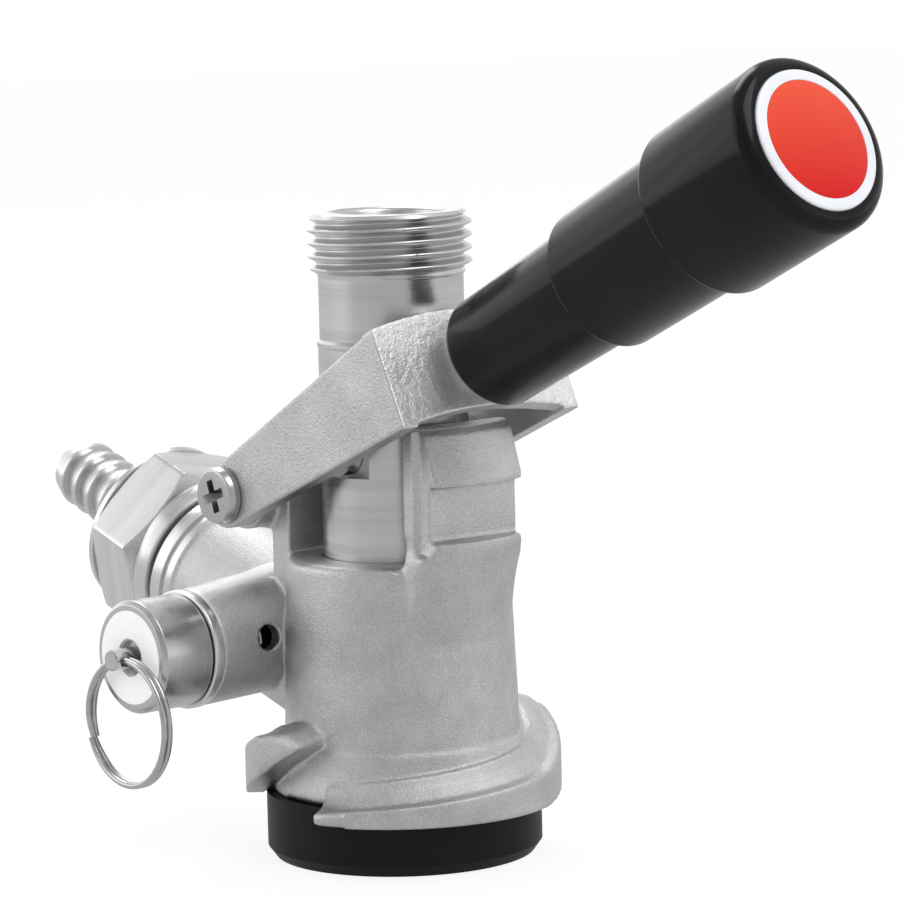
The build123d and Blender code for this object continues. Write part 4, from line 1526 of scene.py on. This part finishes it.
@dataclass
class PullRing(SubAssembly):
    """Split ring of two close coils."""

    body: str = "pull_ring"
    wire_r: float = 0.44
    spacing: float = 0.87
    jog_start: float = 0.46
    jog_end: float = 0.54
    coils: int = 2
    first_turn: float = 200.0
    steps: int = 260

    def build(self) -> None:
        """Winds the ring where the model has it."""
        low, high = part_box("pull_ring")
        centre = (low + high) / 2
        radius = (high.x - low.x) / 2 / MM - self.wire_r

        def path(t: float) -> Vector:
            """Finds a place on the wire.

            Args:
                t: fraction of the wire's length.

            Returns:
                The place in metres from the ring's centre.
            """
            jog = clamped((t - self.jog_start) / (self.jog_end - self.jog_start))
            shift = (eased(jog) - 0.5) * self.spacing
            turn = TAU * self.coils * t + math.radians(self.first_turn)
            return Vector((radius * math.cos(turn), shift, radius * math.sin(turn))) * MM

        item = tube("split_ring", path, self.wire_r, self.steps, Matrix.Translation(centre), sides=20)
        self.put(item, Surface.BRIGHT, "pull_ring")


@dataclass
class CoilSpring(SubAssembly):
    """Compression spring wound along its own axis between two bodies."""

    node: str
    mover: str
    axis: Line
    fixed_end: float
    moving_end: float
    mean_r: float
    wire_r: float
    body: str = "body"
    turns: int = 6
    dead_turns: float = 0.9
    end_share: float = 1.1
    closed_share: float = 2.1
    steps: int = 260

    def length(self) -> float:
        """Length from the middle of the first wire to the middle of the last."""
        return abs(self.fixed_end - self.moving_end) - 2 * self.end_share * self.wire_r

    def rise(self, t: float) -> float:
        """Share of the spring's length that the wire has climbed, with closed turns at both ends.

        Args:
            t: fraction of the wire's length.

        Returns:
            The share, 0 to 1.
        """
        dead = self.dead_turns / self.turns
        closed = self.closed_share * self.wire_r * self.dead_turns / self.length()
        if t < dead:
            return closed * t / dead
        if t > 1 - dead:
            return 1 - closed * (1 - t) / dead
        return closed + (1 - 2 * closed) * (t - dead) / (1 - 2 * dead)

    def build(self) -> None:
        """Winds the spring between its two ends."""
        low = min(self.fixed_end, self.moving_end) + self.end_share * self.wire_r

        def path(t: float) -> Vector:
            """Finds a place on the wire.

            Args:
                t: fraction of the wire's length.

            Returns:
                The place in metres in the axis's frame.
            """
            turn = TAU * self.turns * t
            along = low + self.length() * self.rise(t)
            return Vector((self.mean_r * math.cos(turn), self.mean_r * math.sin(turn), along)) * MM

        item = tube(self.node + "_coil", path, self.wire_r, self.steps, self.axis.matrix(), sides=12)
        Surface.BRIGHT.dress(item)
        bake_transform(item)
        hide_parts(self.node)
        LOG.info("%s between %s and %s", item.name, self.body, self.mover)


@dataclass(frozen=True)
class Lamp:
    """A soft square lamp: its place and side in metres and its power in watts."""

    name: str
    place: tuple[float, float, float]
    side: float
    power: float


LAMPS = (Lamp("key", (0.5, 0.1, 0.95), 0.6, 3.6),
         Lamp("fill", (-0.55, -0.75, 0.45), 0.8, 1.4),
         Lamp("rim", (-0.6, 0.2, 0.8), 0.5, 3.2))


@dataclass
class Studio:
    """Camera, floor and light."""

    azimuth: float = 50.0
    distance: float = 576.0
    height: float = 126.74
    pitch: float = 7.0
    yaw: float = 0.76
    roll: float = 1.42
    lens: float = 164.42
    sensor: float = 36.0
    floor_half: float = 3.0
    white: float = 1.0
    floor_white: float = 1.03
    floor_mirrored: float = 0.6
    floor_hold: float = 0.86
    room_dim: float = 0.55
    room_side: float = 1.3
    room_turn: float = 14.0
    band_scale: float = 2.2
    ambient: float = 0.8
    aim_height: float = 0.05
    floor_grey: float = 0.9
    floor_roughness: float = 0.9
    floor_gap: float = 0.0002

    def camera(self) -> None:
        """Stands the camera a little higher than the coupler, tilted down at it."""
        a = math.radians(self.azimuth)
        out = Vector((math.sin(a), -math.cos(a), 0))
        right = Vector((math.cos(a), math.sin(a), 0))
        yaw, pitch, roll = (math.radians(v) for v in (self.yaw, self.pitch, self.roll))
        level = -out * math.cos(yaw) + right * math.sin(yaw)
        side = right * math.cos(yaw) + out * math.sin(yaw)
        ahead = level * math.cos(pitch) - Vector((0, 0, 1)) * math.sin(pitch)
        up = side.cross(ahead)
        x = side * math.cos(roll) - up * math.sin(roll)
        y = up * math.cos(roll) + side * math.sin(roll)
        data = bpy.data.cameras.new("camera")
        data.lens = self.lens
        data.sensor_width = self.sensor
        data.clip_start = 0.01
        item = bpy.data.objects.new("camera", data)
        turn = Matrix((x, y, -ahead)).transposed().to_4x4()
        place = out * self.distance + Vector((0, 0, self.height))
        item.matrix_world = Matrix.Translation(place * MM) @ turn
        bpy.context.scene.collection.objects.link(item)
        bpy.context.scene.camera = item

    def light(self, lamp: Lamp) -> None:
        """Adds a soft area lamp aimed at the coupler.

        Args:
            lamp: the lamp.
        """
        data = bpy.data.lights.new(lamp.name, "AREA")
        data.shape = "SQUARE"
        data.size = lamp.side
        data.energy = lamp.power
        item = bpy.data.objects.new(lamp.name, data)
        item.location = lamp.place
        aim = Vector((0, 0, self.aim_height)) - Vector(lamp.place)
        item.rotation_euler = aim.to_track_quat("-Z", "Y").to_euler()
        bpy.context.scene.collection.objects.link(item)

    def by_ray(self, tree: Tree, seen: float, mirrored: Value, given: float) -> Socket:
        """Chooses a strength by the kind of ray.

        Args:
            tree: the node tree.
            seen: strength for rays that see the surface itself.
            mirrored: strength for reflections, a number or a socket.
            given: strength of the light that falls on the coupler.

        Returns:
            A socket with the strength.
        """
        path = tree.nodes.new("ShaderNodeLightPath")
        through = path.outputs["Is Transmission Ray"]
        direct = math_node(tree, "MAXIMUM", path.outputs["Is Camera Ray"], through)
        step = math_node(tree, "SUBTRACT", mirrored, given)
        base = math_node(tree, "MULTIPLY_ADD", path.outputs["Is Glossy Ray"], step, given)
        return math_node(tree, "MULTIPLY_ADD", direct, math_node(tree, "SUBTRACT", seen, base), base)

    def mirrored_room(self, tree: Tree) -> Socket:
        """Brightness of the room in reflections: dim behind the camera, bright to the sides.

        Args:
            tree: the world's node tree.

        Returns:
            A socket with the brightness.
        """
        place = tree.nodes.new("ShaderNodeTexCoord").outputs["Generated"]
        a = math.radians(self.azimuth - self.room_turn)
        facing = tree.nodes.new("ShaderNodeVectorMath")
        facing.operation = "DOT_PRODUCT"
        tree.links.new(place, facing.inputs[0])
        facing.inputs[1].default_value = (math.sin(a), -math.cos(a), 0)
        round_room = to_range(tree, facing.outputs["Value"], low=self.room_side, high=self.room_dim,
                              from_low=0.1, from_high=0.92)
        bands = tree.nodes.new("ShaderNodeVectorMath")
        bands.operation = "MULTIPLY"
        tree.links.new(place, bands.inputs[0])
        bands.inputs[1].default_value = (1, 1, 0.15)
        streak = noise_node(tree, bands.outputs[0], self.band_scale, 1.0, 0.4)
        parts = tree.nodes.new("ShaderNodeSeparateXYZ")
        tree.links.new(place, parts.inputs[0])
        upward = to_range(tree, parts.outputs["Z"], low=1.0, high=0.5, from_low=0.1, from_high=0.9)
        level = math_node(tree, "MULTIPLY", round_room, upward)
        banding = to_range(tree, streak, low=0.65, high=1.35, from_low=0.35, from_high=0.65)
        return math_node(tree, "MULTIPLY", level, banding)

    def world(self) -> None:
        """White surround that mirrors as a softly lit room."""
        world = bpy.data.worlds.new("surround")
        world.use_nodes = True
        tree = world.node_tree
        back = tree.nodes["Background"]
        back.inputs["Color"].default_value = (1, 1, 1, 1)
        strength = self.by_ray(tree, self.white, self.mirrored_room(tree), self.ambient)
        tree.links.new(strength, back.inputs["Strength"])
        bpy.context.scene.world = world

    def floor(self) -> None:
        """Pale floor that runs out to the white surround."""
        shape = bmesh.new()
        bmesh.ops.create_grid(shape, x_segments=1, y_segments=1, size=self.floor_half)
        item = add_mesh("floor", shape, Matrix.Translation((0, 0, CAD_BOX[0].z - self.floor_gap)))
        material = bpy.data.materials.new("floor_paper")
        material.use_nodes = True
        tree = material.node_tree
        shader = tree.nodes["Principled BSDF"]
        shader.inputs["Base Color"].default_value = (self.floor_grey, self.floor_grey, self.floor_grey, 1)
        shader.inputs["Roughness"].default_value = self.floor_roughness
        glow = tree.nodes.new("ShaderNodeEmission")
        tree.links.new(self.by_ray(tree, self.floor_white, self.floor_mirrored, 0.0), glow.inputs["Strength"])
        blend = tree.nodes.new("ShaderNodeMixShader")
        tree.links.new(self.by_ray(tree, self.floor_hold, self.floor_hold, 0.0), blend.inputs[0])
        tree.links.new(shader.outputs[0], blend.inputs[1])
        tree.links.new(glow.outputs[0], blend.inputs[2])
        tree.links.new(blend.outputs[0], tree.nodes["Material Output"].inputs["Surface"])
        item.data.materials.append(material)

    def build(self) -> None:
        """Sets up the studio."""
        self.camera()
        self.world()
        self.floor()
        for lamp in LAMPS:
            self.light(lamp)
        bpy.context.scene.view_settings.view_transform = "Standard"


def main() -> None:
    """Builds the coupler's sub-assemblies in order, then the studio."""
    logging.basicConfig(level=logging.INFO, format="%(name)s: %(message)s")
    relief_spring = CoilSpring("relief_spring", mover="relief_pin", axis=AXES.relief(), fixed_end=30.1,
                               moving_end=12.85, mean_r=4.7, wire_r=0.45)
    latch_spring = CoilSpring("latch_spring", mover="grip", axis=AXES.grip(), fixed_end=61.0, moving_end=50.0,
                              mean_r=3.3, wire_r=0.35, body="lever")
    for sub_assembly in (CastBody(), HingeScrews(), BeerProbe(), Lever(), Grip(), latch_spring, GasInlet(),
                         ReliefCap(), ReliefPin(), relief_spring, PullRing(), Studio()):
        sub_assembly.build()


if __name__ == "__main__":
    main()
